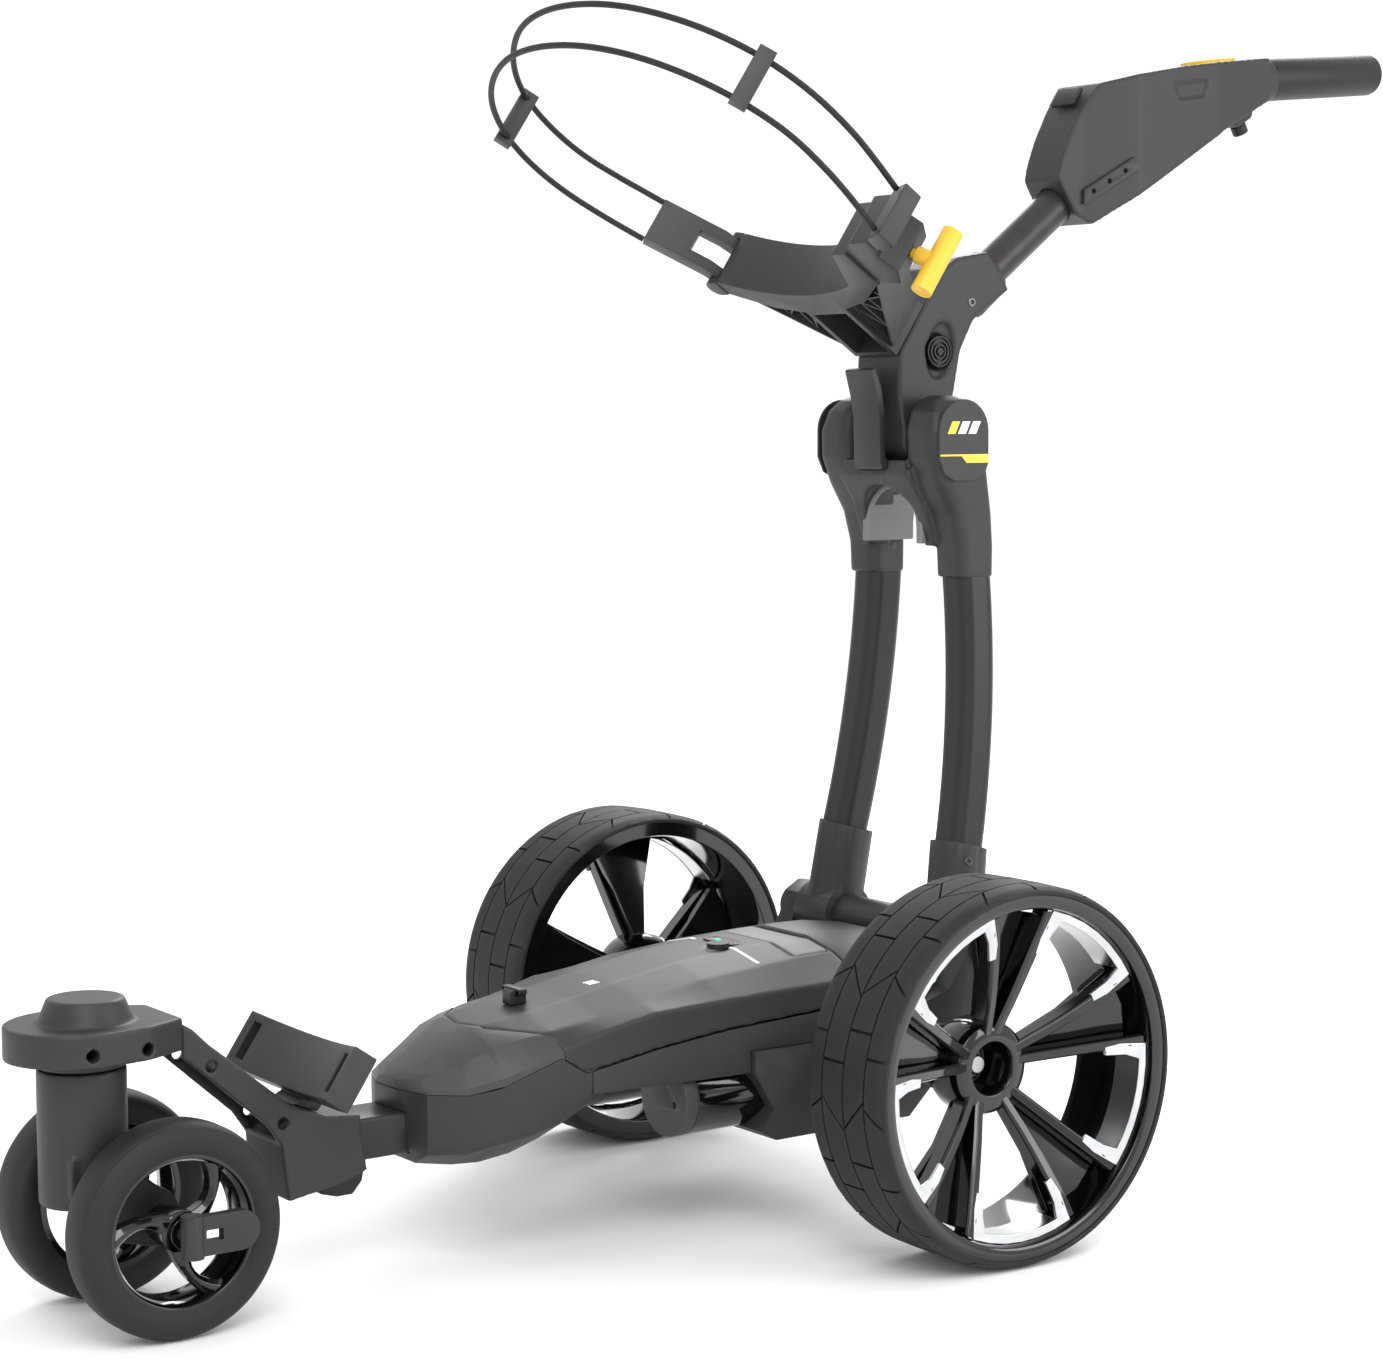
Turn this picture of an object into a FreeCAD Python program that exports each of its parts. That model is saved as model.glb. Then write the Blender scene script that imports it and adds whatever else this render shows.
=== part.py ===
import FreeCAD, Part
import math
import os
import re

# Electric golf trolley. Frame: +Z up, front (castor) towards -Y, handle towards +Y, the left drive
# wheel on +X. Every outline below is drawn with the drive axle over y = 0; the cell axle_y then moves
# the whole trolley so that the row's origin is the centre of its footprint, on the floor.

V = FreeCAD.Vector
doc = FreeCAD.newDocument("golf_trolley")
sheet = doc.addObject("Spreadsheet::Sheet", "Sizes")
size = {}


def cell(alias, value, note):
    """One driving dimension: a plain number in the sheet, with a word for an alias."""
    row = len(size) + 1
    sheet.set(f"A{row}", note)
    sheet.set(f"B{row}", str(value))
    sheet.setAlias(f"B{row}", alias)
    size[alias] = float(value)


cell("axle_y", 7.7, "drive axle, behind the centre of the footprint")
cell("wheel_radius", 145.0, "drive wheel over the tread")
cell("tyre_outer", 289.3, "outer shoulder of a drive tyre from the middle")
cell("tyre_width", 88.6, "drive tyre, shoulder to shoulder")
cell("tyre_seat", 132.0, "radius where the tyre sits on the rim")
cell("axle_radius", 7.9, "drive axle")
cell("running_gap", 0.05, "radial clearance of every shaft in its bearing")
cell("castor_radius", 77.0, "castor wheel")
cell("castor_y", -590.0, "castor axle behind the front")
cell("castor_middle", 60.0, "middle of a castor tyre from the centre line")
cell("castor_width", 40.0, "castor tyre")
cell("castor_pin", 6.0, "castor axle radius")
cell("steer_y", -630.0, "steering axis of the castor column")
cell("column_radius", 31.5, "castor column")
cell("steer_pin", 10.0, "steering pin radius")
cell("arm_half", 30.0, "front arm, half its width")
cell("bar_half", 23.0, "main bar, half its width")
cell("motor_radius", 31.0, "drive motor")
cell("motor_x", 62.0, "drive motor from the centre line")
cell("motor_z", 113.0, "drive motor axis height")
cell("fold_y", 100.0, "cross tube, the lower fold")
cell("fold_z", 212.0, "cross tube height")
cell("fold_radius", 17.0, "cross tube radius")
cell("stem_side", 34.0, "stem tube, across its flats")
cell("pivot_y", 112.0, "upper fold pin")
cell("pivot_z", 617.0, "upper fold pin height")
cell("pivot_radius", 8.0, "upper fold pin radius")
cell("yoke_half", 79.0, "yoke, half its width over the cheeks")
cell("upper_radius", 16.0, "upper tube radius")
cell("grip_radius", 18.8, "handle grip radius")
cell("hoop_y", -103.7, "centre of the bag hoop")
cell("hoop_z", 844.3, "height of the bag hoop's centre")
cell("hoop_turn", 145.6, "turn of the hoop's plane about X, in degrees")
cell("cord_diameter", 5.0, "elastic cord of the bag hoop")
cell("cord_apart", 18.7, "each cord from the hoop's middle plane")
cell("hinge_x", -108.0, "hoop hinge pin across the hoop's plane")
cell("hinge_v", -143.0, "hoop hinge pin up the hoop's plane")
doc.recompute()

SIDES = (("left", 1), ("right", -1))
nodes = []


def bound(text):
    """Names of cells in an expression get the sheet's name in front."""
    return re.sub(r"[a-z]+_[a-z]+", lambda word: "Sizes." + word.group(0), str(text))


def node(obj, label):
    """Registers a finished sub-part; its label is its file's name."""
    obj.Label = label
    nodes.append(obj)
    return obj


def labelled(label):
    """The finished sub-part of that name, for use as a tool in a neighbour's cut."""
    return [obj for obj in nodes if obj.Label == label][0]


def place(obj, at=(0, 0, 0), turn=None):
    """Puts an object at a point given from the drive axle; each entry may name cells."""
    if turn:
        obj.Placement = FreeCAD.Placement(V(0, 0, 0), turn)
    obj.setExpression("Placement.Base.x", bound(at[0]))
    obj.setExpression("Placement.Base.y", bound(f"axle_y + ({at[1]})"))
    obj.setExpression("Placement.Base.z", bound(at[2]))
    return obj


def on_hoop(x, v, down=0):
    """A point of the hoop's frame (across, up the hoop's plane, down the bag's axis) in the trolley's."""
    turn = math.radians(size["hoop_turn"])
    return (x, size["hoop_y"] + v * math.cos(turn) - down * math.sin(turn),
            size["hoop_z"] + v * math.sin(turn) + down * math.cos(turn))


def place_on_hoop(obj, at=(0, 0, 0), turn=None):
    """Local x is across the trolley, local y up the hoop's plane, local z down the bag's axis."""
    hoop = FreeCAD.Rotation(V(1, 0, 0), size["hoop_turn"])
    return place(obj, on_hoop(*at), hoop.multiply(turn) if turn else hoop)


def outline(points):
    """Closed loop of edges; an entry ("arc", a, b) is the middle of an arc between its neighbours."""
    corners = points + [points[0]]
    edges = []
    here = 0
    while here < len(points):
        start = V(corners[here][0], corners[here][1], 0)
        if corners[here + 1][0] == "arc":
            middle = V(corners[here + 1][1], corners[here + 1][2], 0)
            end = V(corners[here + 2][0], corners[here + 2][1], 0)
            edges.append(Part.Arc(start, middle, end))
            here += 2
        else:
            edges.append(Part.LineSegment(start, V(corners[here + 1][0], corners[here + 1][1], 0)))
            here += 1
    return edges


def origin_part(body, role):
    return [feature for feature in body.Origin.OriginFeatures if feature.Role == role][0]


def sketch_in(body, role, points):
    sketch = body.newObject("Sketcher::SketchObject", body.Name + "_sketch")
    sketch.AttachmentSupport = (origin_part(body, role), [""])
    sketch.MapMode = "FlatFace"
    for edge in outline(points):
        sketch.addGeometry(edge, False)
    return sketch


def padded(name, role, points, length, symmetric=True):
    """A body padded from one sketch; length may name cells."""
    body = doc.addObject("PartDesign::Body", name)
    pad = body.newObject("PartDesign::Pad", name + "_pad")
    pad.Profile = sketch_in(body, role, points)
    pad.SideType = "Symmetric" if symmetric else "One side"
    pad.setExpression("Length", bound(length))
    body.Tip = pad
    return body


def turned(name, points):
    """A body of revolution about its own X axis; points are (x, radius)."""
    body = doc.addObject("PartDesign::Body", name)
    spin = body.newObject("PartDesign::Revolution", name + "_turn")
    spin.Profile = sketch_in(body, "XY_Plane", points)
    spin.ReferenceAxis = (origin_part(body, "X_Axis"), [""])
    spin.Angle = 360.0
    body.Tip = spin
    return body


AXES = {"x": FreeCAD.Rotation(V(0, 0, 1), V(1, 0, 0)),
        "y": FreeCAD.Rotation(V(0, 0, 1), V(0, 1, 0)),
        "z": FreeCAD.Rotation()}


def rod(name, radius, length, at, along="x"):
    """A cylinder that starts at a point and runs along an axis."""
    obj = doc.addObject("Part::Cylinder", name)
    obj.setExpression("Radius", bound(radius))
    obj.setExpression("Height", bound(length))
    turn = AXES[along] if isinstance(along, str) else FreeCAD.Rotation(V(0, 0, 1), V(*along))
    return place(obj, at, turn)


def block(name, low, high):
    """A box between two corners."""
    obj = doc.addObject("Part::Box", name)
    for prop, a, b in zip(("Length", "Width", "Height"), low, high):
        obj.setExpression(prop, bound(f"({b}) - ({a})"))
    return place(obj, low)


def joined(name, *pieces):
    obj = doc.addObject("Part::MultiFuse", name)
    obj.Shapes = list(pieces)
    return obj


def minus(name, base, *tools):
    obj = doc.addObject("Part::Cut", name)
    obj.Base = base
    obj.Tool = tools[0] if len(tools) == 1 else joined(name + "_tools", *tools)
    return obj


def overlap(name, *pieces):
    obj = doc.addObject("Part::MultiCommon", name)
    obj.Shapes = list(pieces)
    return obj


def group(name, shapes):
    """Separate solids that share one node."""
    obj = doc.addObject("Part::Compound", name)
    obj.Links = list(shapes)
    return obj


def shaped(name, shape):
    """A sub-part whose form neither a sketch nor a primitive gives, such as a loft."""
    obj = doc.addObject("Part::Feature", name)
    obj.Shape = shape
    return place(obj)


def mirrored(points, side):
    """An outline's first coordinate, flipped for the right-hand side."""
    return [(p[0], p[1] * side, p[2]) if p[0] == "arc" else (p[0] * side, p[1]) for p in points]


def hull(sections):
    """A straight-sided loft through sections (y, [(x, z), ...]), each given for x >= 0 from the
    bottom up and mirrored to the other side."""
    wires = []
    for y, half in sections:
        loop = [V(x, y, z) for x, z in half] + [V(-x, y, z) for x, z in reversed(half) if x > 0]
        wires.append(Part.makePolygon(loop + [loop[0]]))
    return Part.makeLoft(wires, True, True)


# ---------------------------------------------------------------- drive wheels
def drive_wheel(name, side):
    outer = size["tyre_outer"]
    inner = outer - size["tyre_width"]
    tread = size["wheel_radius"]
    seat = size["tyre_seat"]
    flange = seat + 6.5
    at_hub = (0, 0, "wheel_radius")
    tyre = turned(name + "_tyre", mirrored([
        (inner, flange), (inner, tread - 3.5), (inner + 4, tread - 0.7), (inner + 24, tread),
        (outer - 24, tread), (outer - 4, tread - 0.7), (outer, tread - 3.5), (outer, flange),
        (outer - 6, flange), (outer - 6, seat), (inner + 6, seat), (inner + 6, flange)], side))
    node(place(tyre, at_hub), name + "_tyre")

    axle = size["axle_radius"]
    rim = turned(name + "_rim", mirrored([
        (inner + 2, 126), (inner + 2, flange - 0.5), (inner + 6, flange - 0.5), (inner + 6, seat),
        (outer - 6, seat), (outer - 6, flange - 0.5), (outer - 1.5, flange - 0.5),
        (outer - 1.5, 129), (outer - 6, 124), (outer - 16, 120), (236, 34), (232, 28), (232, 18),
        (216, 18), (216, axle), (192, axle), (192, 24), (206, 30), (outer - 42, 120),
        (outer - 46, 126)], side))
    window = rim.newObject("PartDesign::Pocket", name + "_window")
    window.Profile = sketch_in(rim, "YZ_Plane", window_outline(122, 40))
    window.Type = "ThroughAll"
    window.SideType = "Symmetric"
    windows = rim.newObject("PartDesign::PolarPattern", name + "_windows")
    windows.Originals = [window]
    windows.Axis = (origin_part(rim, "X_Axis"), [""])
    windows.Angle = 360.0
    windows.Occurrences = 5
    rim.Tip = windows
    node(place(rim, at_hub), name + "_rim")

    axle_shape = turned(name + "_axle", mirrored([
        (66, 0), (66, axle), (216, axle), (216, 12), (221, 12), (221, 7), (226, 7), (229, 5), (229, 0)],
        side))
    node(place(axle_shape, at_hub), name + "_axle")


def polar(radius, degrees):
    return (radius * math.cos(math.radians(degrees)), radius * math.sin(math.radians(degrees)))


def window_outline(rim_side, hub_side):
    """The lowest window between two double spokes, wide at the rim and narrow at the hub."""
    return [polar(rim_side, -112), ("arc", *polar(rim_side, -90)), polar(rim_side, -68),
            polar(hub_side, -80), polar(hub_side, -100)]


for name, side in SIDES:
    drive_wheel(name, side)


# ---------------------------------------------------------------- castor
def castor_wheel(name, side):
    low = size["castor_middle"] - size["castor_width"] / 2
    high = size["castor_middle"] + size["castor_width"] / 2
    tread = size["castor_radius"]
    at_hub = (0, "castor_y", "castor_radius")
    tyre = turned(name + "_castor_tyre", mirrored([
        (low + 2, 58), (low, 65), (low + 1, 70), (low + 3.5, 73.6), (low + 7, 75.9), (low + 12, tread),
        (high - 12, tread), (high - 7, 75.9), (high - 3.5, 73.6), (high - 1, 70), (high, 65),
        (high - 2, 58)], side))
    node(place(tyre, at_hub), name + "_castor_tyre")

    bore = size["castor_pin"] + size["running_gap"]
    rim = turned(name + "_castor_rim", mirrored([
        (low + 2, 53), (low + 2, 58), (high - 2, 58), (high - 2, 54), (high - 8, 52), (high - 10, 15),
        (high - 2, 14), (high - 2, 9), (high + 0.4, 9), (high + 0.4, bore), (low + 2, bore), (low + 2, 14), (low + 16, 16),
        (low + 18, 52)], side))
    window = rim.newObject("PartDesign::Pocket", name + "_castor_window")
    window.Profile = sketch_in(rim, "YZ_Plane", [
        polar(50, 20), ("arc", *polar(50, 70)), polar(50, 112), polar(19, 88),
        ("arc", *polar(18, 62)), polar(19, 36)])
    window.Type = "ThroughAll"
    window.SideType = "Symmetric"
    windows = rim.newObject("PartDesign::PolarPattern", name + "_castor_windows")
    windows.Originals = [window]
    windows.Axis = (origin_part(rim, "X_Axis"), [""])
    windows.Angle = 360.0
    windows.Occurrences = 3
    rim.Tip = windows
    node(place(rim, at_hub), name + "_castor_rim")

    # Quick-release lever: a barrel on an upright pin at the hub, and a strap towards the rim.
    barrel = rod(name + "_barrel", 8, 30, (side * 88.5, "castor_y", "castor_radius - 15"), "z")
    strap_x = side * 88.5
    strap = block(name + "_strap", (strap_x - 4, "castor_y", "castor_radius - 14"),
                  (strap_x + 4, "castor_y + 36", "castor_radius + 14"))
    tip = rod(name + "_strap_tip", 14, 8, (strap_x - 4, "castor_y + 36", "castor_radius"))
    slot = block(name + "_strap_slot", (side * 88.5 - 9, "castor_y + 9", "castor_radius - 4"),
                 (side * 88.5 + 9, "castor_y + 22", "castor_radius + 4"))
    lever = minus(name + "_lever", joined(name + "_lever_solid", barrel, strap, tip), slot)
    node(lever, name + "_castor_lever")


for name, side in SIDES:
    castor_wheel(name, side)

column = rod("column_post", "column_radius", 96, (0, "steer_y", 90), "z")
fork = place(padded("column_fork", "YZ_Plane", [
    (-652, 100), (-652, 128), (-620, 128), (-584, 98), ("arc", -569, 77), (-590, 56),
    (-612, 62), (-640, 86)], "56"))
steering_pin = rod("steering_pin", "steer_pin", 84, (0, "steer_y", 140), "z")
column_solid = joined("column_solid", column, fork, steering_pin)
fork_bore = rod("fork_bore", "castor_pin", 80, (-40, "castor_y", "castor_radius"))
node(minus("castor_column_cut", column_solid, fork_bore), "castor_column")
node(rod("castor_axle_rod", "castor_pin", 156, (-78, "castor_y", "castor_radius")), "castor_axle")

# ---------------------------------------------------------------- front arm
cap_plan = [(0, -684.6), ("arc", -37, -668), (-51, -632), (-46, -598), (-30.2, -566), (30.2, -566),
            (46, -598), (51, -632), ("arc", 37, -668)]
cap_plate = place(padded("cap_plate", "XY_Plane", cap_plan, 24, False), (0, 0, 194))
boss = doc.addObject("Part::Cone", "cap_boss")
boss.Radius1 = 34
boss.Radius2 = 27
boss.Height = 17
place(boss, (0, "steer_y + 4", 218))
collar = rod("cap_collar", "column_radius", 10, (0, "steer_y", 187), "z")
pin_room = rod("cap_pin_room", "steer_pin + 6", 40, (0, "steer_y", 186), "z")
node(minus("steering_cap_cut", joined("cap_solid", cap_plate, boss, collar), pin_room), "steering_cap")
race = rod("bearing_race", "steer_pin + 6", 34, (0, "steer_y", 188), "z")
race_bore = rod("bearing_bore", "steer_pin + running_gap", 40, (0, "steer_y", 186), "z")
node(minus("steering_bearing_cut", race, race_bore), "steering_bearing")

arm_outline = [(-566, 188), (-556, 180), (-500, 130), (-489, 114), (-484, 72), (-440, 79), (-419, 86),
               (-424, 113), (-424, 128), (-452, 131), (-480, 142), (-546, 196), (-558, 208), (-566, 213)]
arm_solid = place(padded("arm_solid", "YZ_Plane", arm_outline, "2 * arm_half"))
arm_hollow = place(padded("arm_hollow", "YZ_Plane", [
    (-580, 160), (-580, 198), (-562, 198), (-549, 188), (-494, 140), (-483, 122), (-500, 112)],
    "2 * arm_half - 12"))
arm_slot = block("arm_slot", ("-bar_half", -462, 91), ("bar_half", -410, 123))
node(minus("front_arm_cut", arm_solid, arm_hollow, arm_slot), "front_arm")

release = [(-452, 70), (-438, 66), (-425, 66), (-417, 75), (-415, 84.8), (-419, 85.6), (-440, 78.6),
           (-452, 76.7)]
node(place(padded("arm_release", "YZ_Plane", release, 36)), "arm_release_lever")
node(block("main_bar_box", ("-bar_half", -462, 91), ("bar_half", -262, 123)), "main_bar")

# ---------------------------------------------------------------- lower bag support
SUPPORT_DOWN = 759
support = place_on_hoop(padded("support_plate", "XY_Plane", [
    (-80, -78), ("arc", 0, -90), (80, -78), (80, -100), (60, -104), (-60, -104), (-80, -100)], 44),
    (0, 0, SUPPORT_DOWN))
slots = []
for name, side in SIDES:
    slot = padded(f"support_slot_{name}", "XZ_Plane", [
        (side * 64, -15), (side * 73, -15), (side * 73, 15), (side * 64, 15)], 200)
    slots.append(place_on_hoop(slot, (0, -90, SUPPORT_DOWN)))
foot = place(padded("support_foot", "YZ_Plane", [
    (-474, 140), (-453, 131.8), (-430, 158), (-440, 173), (-457, 148)], 34))
node(joined("support_join", minus("support_cut", support, *slots), foot), "lower_bag_support")

# ---------------------------------------------------------------- chassis
plan = [(-386, 16), (-383, 28), (-375, 42), (-349, 60), (-329, 70), (-305, 77), (-281, 81),
        (-256, 84.5), (-230, 88), (-200, 92), (-140, 98), (-62, 103), (-10, 104)]


def width_at(y):
    """Half the body's width over the lid seam at a distance from the drive axle."""
    for (y0, w0), (y1, w1) in zip(plan, plan[1:]):
        if y <= y1:
            return w0 + (w1 - w0) * (y - y0) / (y1 - y0)
    return plan[-1][1]


# Nose: lower shell, open on top, with the bar's hole in its front wall.
nose_lines = [(-386, 96, 98, 139), (-375, 83, 92, 137.5), (-349, 80, 93, 137), (-329, 80, 99, 141),
              (-305, 84, 104, 151), (-281, 92, 110, 160), (-262, 108, 120, 147), (-256, 114, 126, 147)]


def nose_sections(wall):
    sections = []
    for y, bottom, side_bottom, rim in nose_lines:
        w = width_at(y) - wall
        low = bottom + wall
        sections.append((y, [(0.55 * w, low), (w * 0.96, side_bottom + wall), (w, side_bottom + 8 + wall),
                             (w, rim + (20 if wall else 0))]))
    return sections


nose_solid = shaped("nose_solid", hull(nose_sections(0)))
nose_inside = shaped("nose_inside", hull(nose_sections(4)[1:]))
bar_hole = block("nose_bar_hole", ("-bar_half", -400, 91), ("bar_half", -255, 123))
node(minus("nose_shell_cut", nose_solid, nose_inside, bar_hole), "nose_shell")

# The upper surface runs from the nose to the cross tube: seam, side crease, top edge and crown.
top_lines = [(-386, 139, 141, 10, 145, 147), (-375, 137.5, 141, 30, 149, 152),
             (-349, 137, 143, 44, 158, 165), (-325, 142.5, 149, 54, 169, 179),
             (-305, 151, 156, 60, 174, 183), (-281, 160, 165, 65, 178, 187),
             (-262, 147, 171, 66, 180.5, 189.5), (-240, 151, 178, 66, 184, 193), (-200, 159, 187, 66, 192, 201),
             (-140, 167, 190, 66, 202, 210), (-66, 172, 193, 66, 208, 216), (-12, 175, 194, 66, 210, 218)]


def top_sections(drop=0.0):
    return [(y, [(width_at(y), seam + 0.5), (width_at(y) * 0.985, crease - drop), (edge_x, edge_z - drop),
                 (edge_x * 0.45, crown - drop)])
            for y, seam, crease, edge_x, edge_z, crown in top_lines]


upper_hull = hull(top_sections())
front_seam = [(-90, -276), (-72.4, -281), (-30, -318), (0, -325), (30, -318), (72.4, -281), (90, -276)]
nose_region = Part.Face(Part.makePolygon(
    [V(x, y, 100) for x, y in front_seam] + [V(90, -400, 100), V(-90, -400, 100), V(-90, -276, 100)]))
nose_region = nose_region.extrude(V(0, 0, 200))
nose_cover_shape = upper_hull.common(nose_region)
inner_hull = hull([(y, [(width_at(y) - 4, 100), (width_at(y) - 4, crease - 4),
                        (edge_x - 3, edge_z - 4), (edge_x * 0.42, crown - 4)])
                   for y, seam, crease, edge_x, edge_z, crown in top_lines[1:]])
node(shaped("nose_cover_shell", nose_cover_shape.cut(inner_hull)), "nose_cover")

battery_region = Part.Face(Part.makePolygon(
    [V(x, y + 0.4, 100) for x, y in front_seam] + [V(110, -276, 100), V(110, -12.4, 100),
                                                   V(-110, -12.4, 100), V(-110, -276, 100),
                                                   V(-90, -275.6, 100)]))
battery_region = battery_region.extrude(V(0, 0, 200))
lid = upper_hull.common(battery_region)
tub = Part.makeBox(156, 205, 22, V(-78, -227, 153))
cells_room = Part.makeBox(136, 176, 20.5, V(-68, -225, 156))
case = lid.fuse(tub).cut(cells_room)
strip_low = Part.makeBox(124, 35, 30, V(-62, -49, 205))
plug_seat = Part.makeBox(14.6, 14.6, 20, V(-7.3, -279.3, 187.2))
case = case.cut(strip_low).cut(plug_seat)
case = case.cut(Part.makeCylinder(9.05, 20, V(16, -90, 212)))
node(shaped("battery_case_shell", case.removeSplitter()), "battery_case")
node(rod("button_rod", 8.9, 3.5, (16, -90, 214.5), "z"), "battery_button")
cells = []
for bank in (-1, 1):
    for count in range(9):
        start = -66 if bank < 0 else 2
        cells.append(rod(f"cell_{count}_{bank + 1}", 9, 64, (start, -215 + 19.2 * count, 166)))
node(group("cells_group", cells), "battery_cells")

# Carry handle strip across the back of the battery, on a hinge at its rear edge.
strip_box = block("strip_box", (-61, -47, 205.4), (61, -15, 216))
strip_crown = shaped("strip_crown", upper_hull.copy())
node(overlap("carry_handle_cut", strip_box, strip_crown), "battery_handle")

# Power plug on the battery's front slope.
plug_stem = block("plug_stem", (-7, -279, 187.6), (7, -265, 199))
plug_wings = block("plug_wings", (-13, -276, 196), (13, -268, 201))
node(joined("power_plug_join", plug_stem, plug_wings), "power_plug")

panel_profile = [(-255.4, 130), (-118.6, 131), (-118.6, 148.2), (-16, 148.2), (-16, 174.5), (-62, 171.5),
                 (-140, 166.5), (-200, 158.5), (-255.4, 147)]
tray_walls = []
for name, side in SIDES:
    ring = [(y, width_at(y)) for y in (-256, -230, -200, -140, -62, -16)]
    panel_plan = [(w * side, y) for y, w in ring] + [((w - 4) * side, y) for y, w in reversed(ring)]
    wall = place(padded(name + "_panel_plan", "XY_Plane", panel_plan, 100, False), (0, 0, 100))
    side_cut = place(padded(name + "_panel_side", "YZ_Plane", panel_profile, 260))
    tray_walls.append(overlap(name + "_side_panel", wall, side_cut))
floor_plan = [((width_at(y) - 2), y) for y in (-236, -200, -140, -62, -20)]
floor_plan += [(-x, y) for x, y in reversed(floor_plan)]
tray_floor = place(padded("tray_floor", "XY_Plane", floor_plan, 2.8, False), (0, 0, 148.2))
node(joined("battery_tray_join", tray_floor, *tray_walls), "battery_tray")

# Rear housing: gearbox case with a sleeve round each motor and a tube to each wheel.
rear_solid = place(padded("rear_solid", "YZ_Plane", [
    (-118, 130), (-118, 148), (-15, 148), (-15, 173), (62, 173), (70, 150), (66, 104), (36, 76),
    (-98, 76), (-112, 84), (-100, 101)], 208))
rear_room = block("rear_room", (-98, -58, 82), (98, 58, 144))
rear_room_up = block("rear_room_up", (-98, -11, 82), (98, 58, 168))
tubes = []
for name, side in SIDES:
    tubes.append(rod(f"axle_tube_{name}", 24, 82, (104 if side > 0 else -186, 0, "wheel_radius")))
sleeves = [rod(f"motor_sleeve_{name}", "motor_radius", 90, (side * size["motor_x"], -130, "motor_z"), "y")
           for name, side in SIDES]
bearing_bore = rod("axle_bore", 16, 400, (-200, 0, "wheel_radius"))
node(minus("rear_housing_cut", joined("rear_join", rear_solid, *tubes), rear_room, rear_room_up,
           bearing_bore, *sleeves), "rear_housing")
bearings = []
for name, side in SIDES:
    for x in (104, 172):
        start = x if side > 0 else -x - 12
        outer_race = rod(f"race_{name}_{x}", 16, 12, (start, 0, "wheel_radius"))
        bore = rod(f"race_bore_{name}_{x}", "axle_radius + running_gap", 14, (start - 1, 0, "wheel_radius"))
        bearings.append(minus(f"bearing_{name}_{x}", outer_race, bore))
node(group("axle_bearings_group", bearings), "axle_bearings")
drives = []
caps = []
for name, side in SIDES:
    centre = side * size["motor_x"]
    can = rod(f"{name}_motor_can", "motor_radius", 105.5, (centre, -164, "motor_z"), "y")
    cap = rod(f"{name}_cap_disc", "motor_radius", 12, (centre, -176, "motor_z"), "y")
    hole = rod(f"{name}_cap_hole", 2.5, 6, (centre + 14, -176, "motor_z - 4"), "y")
    caps.append(minus(f"{name}_cap_cut", cap, hole))
    box = block(f"{name}_gear_box", (min(centre - 30, centre + 30), -56, 86),
                (max(centre - 30, centre + 30), 40, 165))
    low = block(f"{name}_gear_step", (min(centre - 40, centre + 40), -60, 142),
                (max(centre - 40, centre + 40), -10, 170))
    bore = rod(f"{name}_gear_bore", "axle_radius + running_gap", 100, (centre - 50, 0, "wheel_radius"))
    drives.append(joined(f"{name}_drive", can, minus(f"{name}_gearbox_cut", box, low, bore)))
node(group("drive_motors_group", drives), "drive_motors")
node(group("motor_caps_group", caps), "motor_caps")

rear_lines = [(-11.6, 174, 194, 66, 210, 218), (30, 174, 196, 64, 211, 218), (68, 174, 194, 60, 206, 213)]
rear_shell = hull([(y, [(98 if y > 60 else 103.5, seam), (97 if y > 60 else 102, crease), (ex, ez),
                        (ex * 0.45, crown)]) for y, seam, crease, ex, ez, crown in rear_lines])
rear_inside = Part.makeBox(184, 70, 22, V(-92, -6, 174))
node(shaped("rear_cover_shell", rear_shell.cut(rear_inside)), "rear_cover")
board = block("board_plate", (-74, 2, 176), (74, 56, 178))
chips = [block(f"chip_{count}", (-60 + 30 * count, 14, 178), (-44 + 30 * count, 34, 182))
         for count in range(5)]
node(joined("board_join", board, *chips), "controller_board")

# Cross tube on two side brackets.
cross_rod = rod("cross_tube_rod", "fold_radius", 260, (-130, "fold_y", "fold_z"))
plates = []
for name, side in SIDES:
    plate = place(padded(f"{name}_bracket_plate", "YZ_Plane", [
        (27, 104), (62, 100), (121, 196), ("arc", 122, 222), (98, 234), (84, 226), (78, 206),
        (60, 180), (27, 170)], 20, False), (104.2 if side > 0 else -124.2, 0, 0))
    plates.append(plate)
node(joined("cross_tube_join", cross_rod, *plates), "cross_tube")

# ---------------------------------------------------------------- folding stem
def rounded_square(centre, normal, side, corner):
    """A square with round corners, square to a direction that is mostly upwards."""
    across = V(0, 1, 0).cross(normal).normalize()
    along = normal.cross(across).normalize()
    half = side / 2
    flat = half - corner
    points = []
    for index in range(4):
        angle = math.pi / 2 * index
        out = across * math.cos(angle) + along * math.sin(angle)
        turn = across * -math.sin(angle) + along * math.cos(angle)
        bend = (out + turn) * (1 / math.sqrt(2))
        points.append((centre + out * half - turn * flat, centre + out * half + turn * flat,
                       centre + (out + turn) * flat + bend * corner))
    edges = []
    for index in range(4):
        first, last, middle = points[index]
        edges.append(Part.makeLine(first, last))
        edges.append(Part.Arc(last, middle, points[(index + 1) % 4][0]).toShape())
    return Part.Wire(edges)


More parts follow.
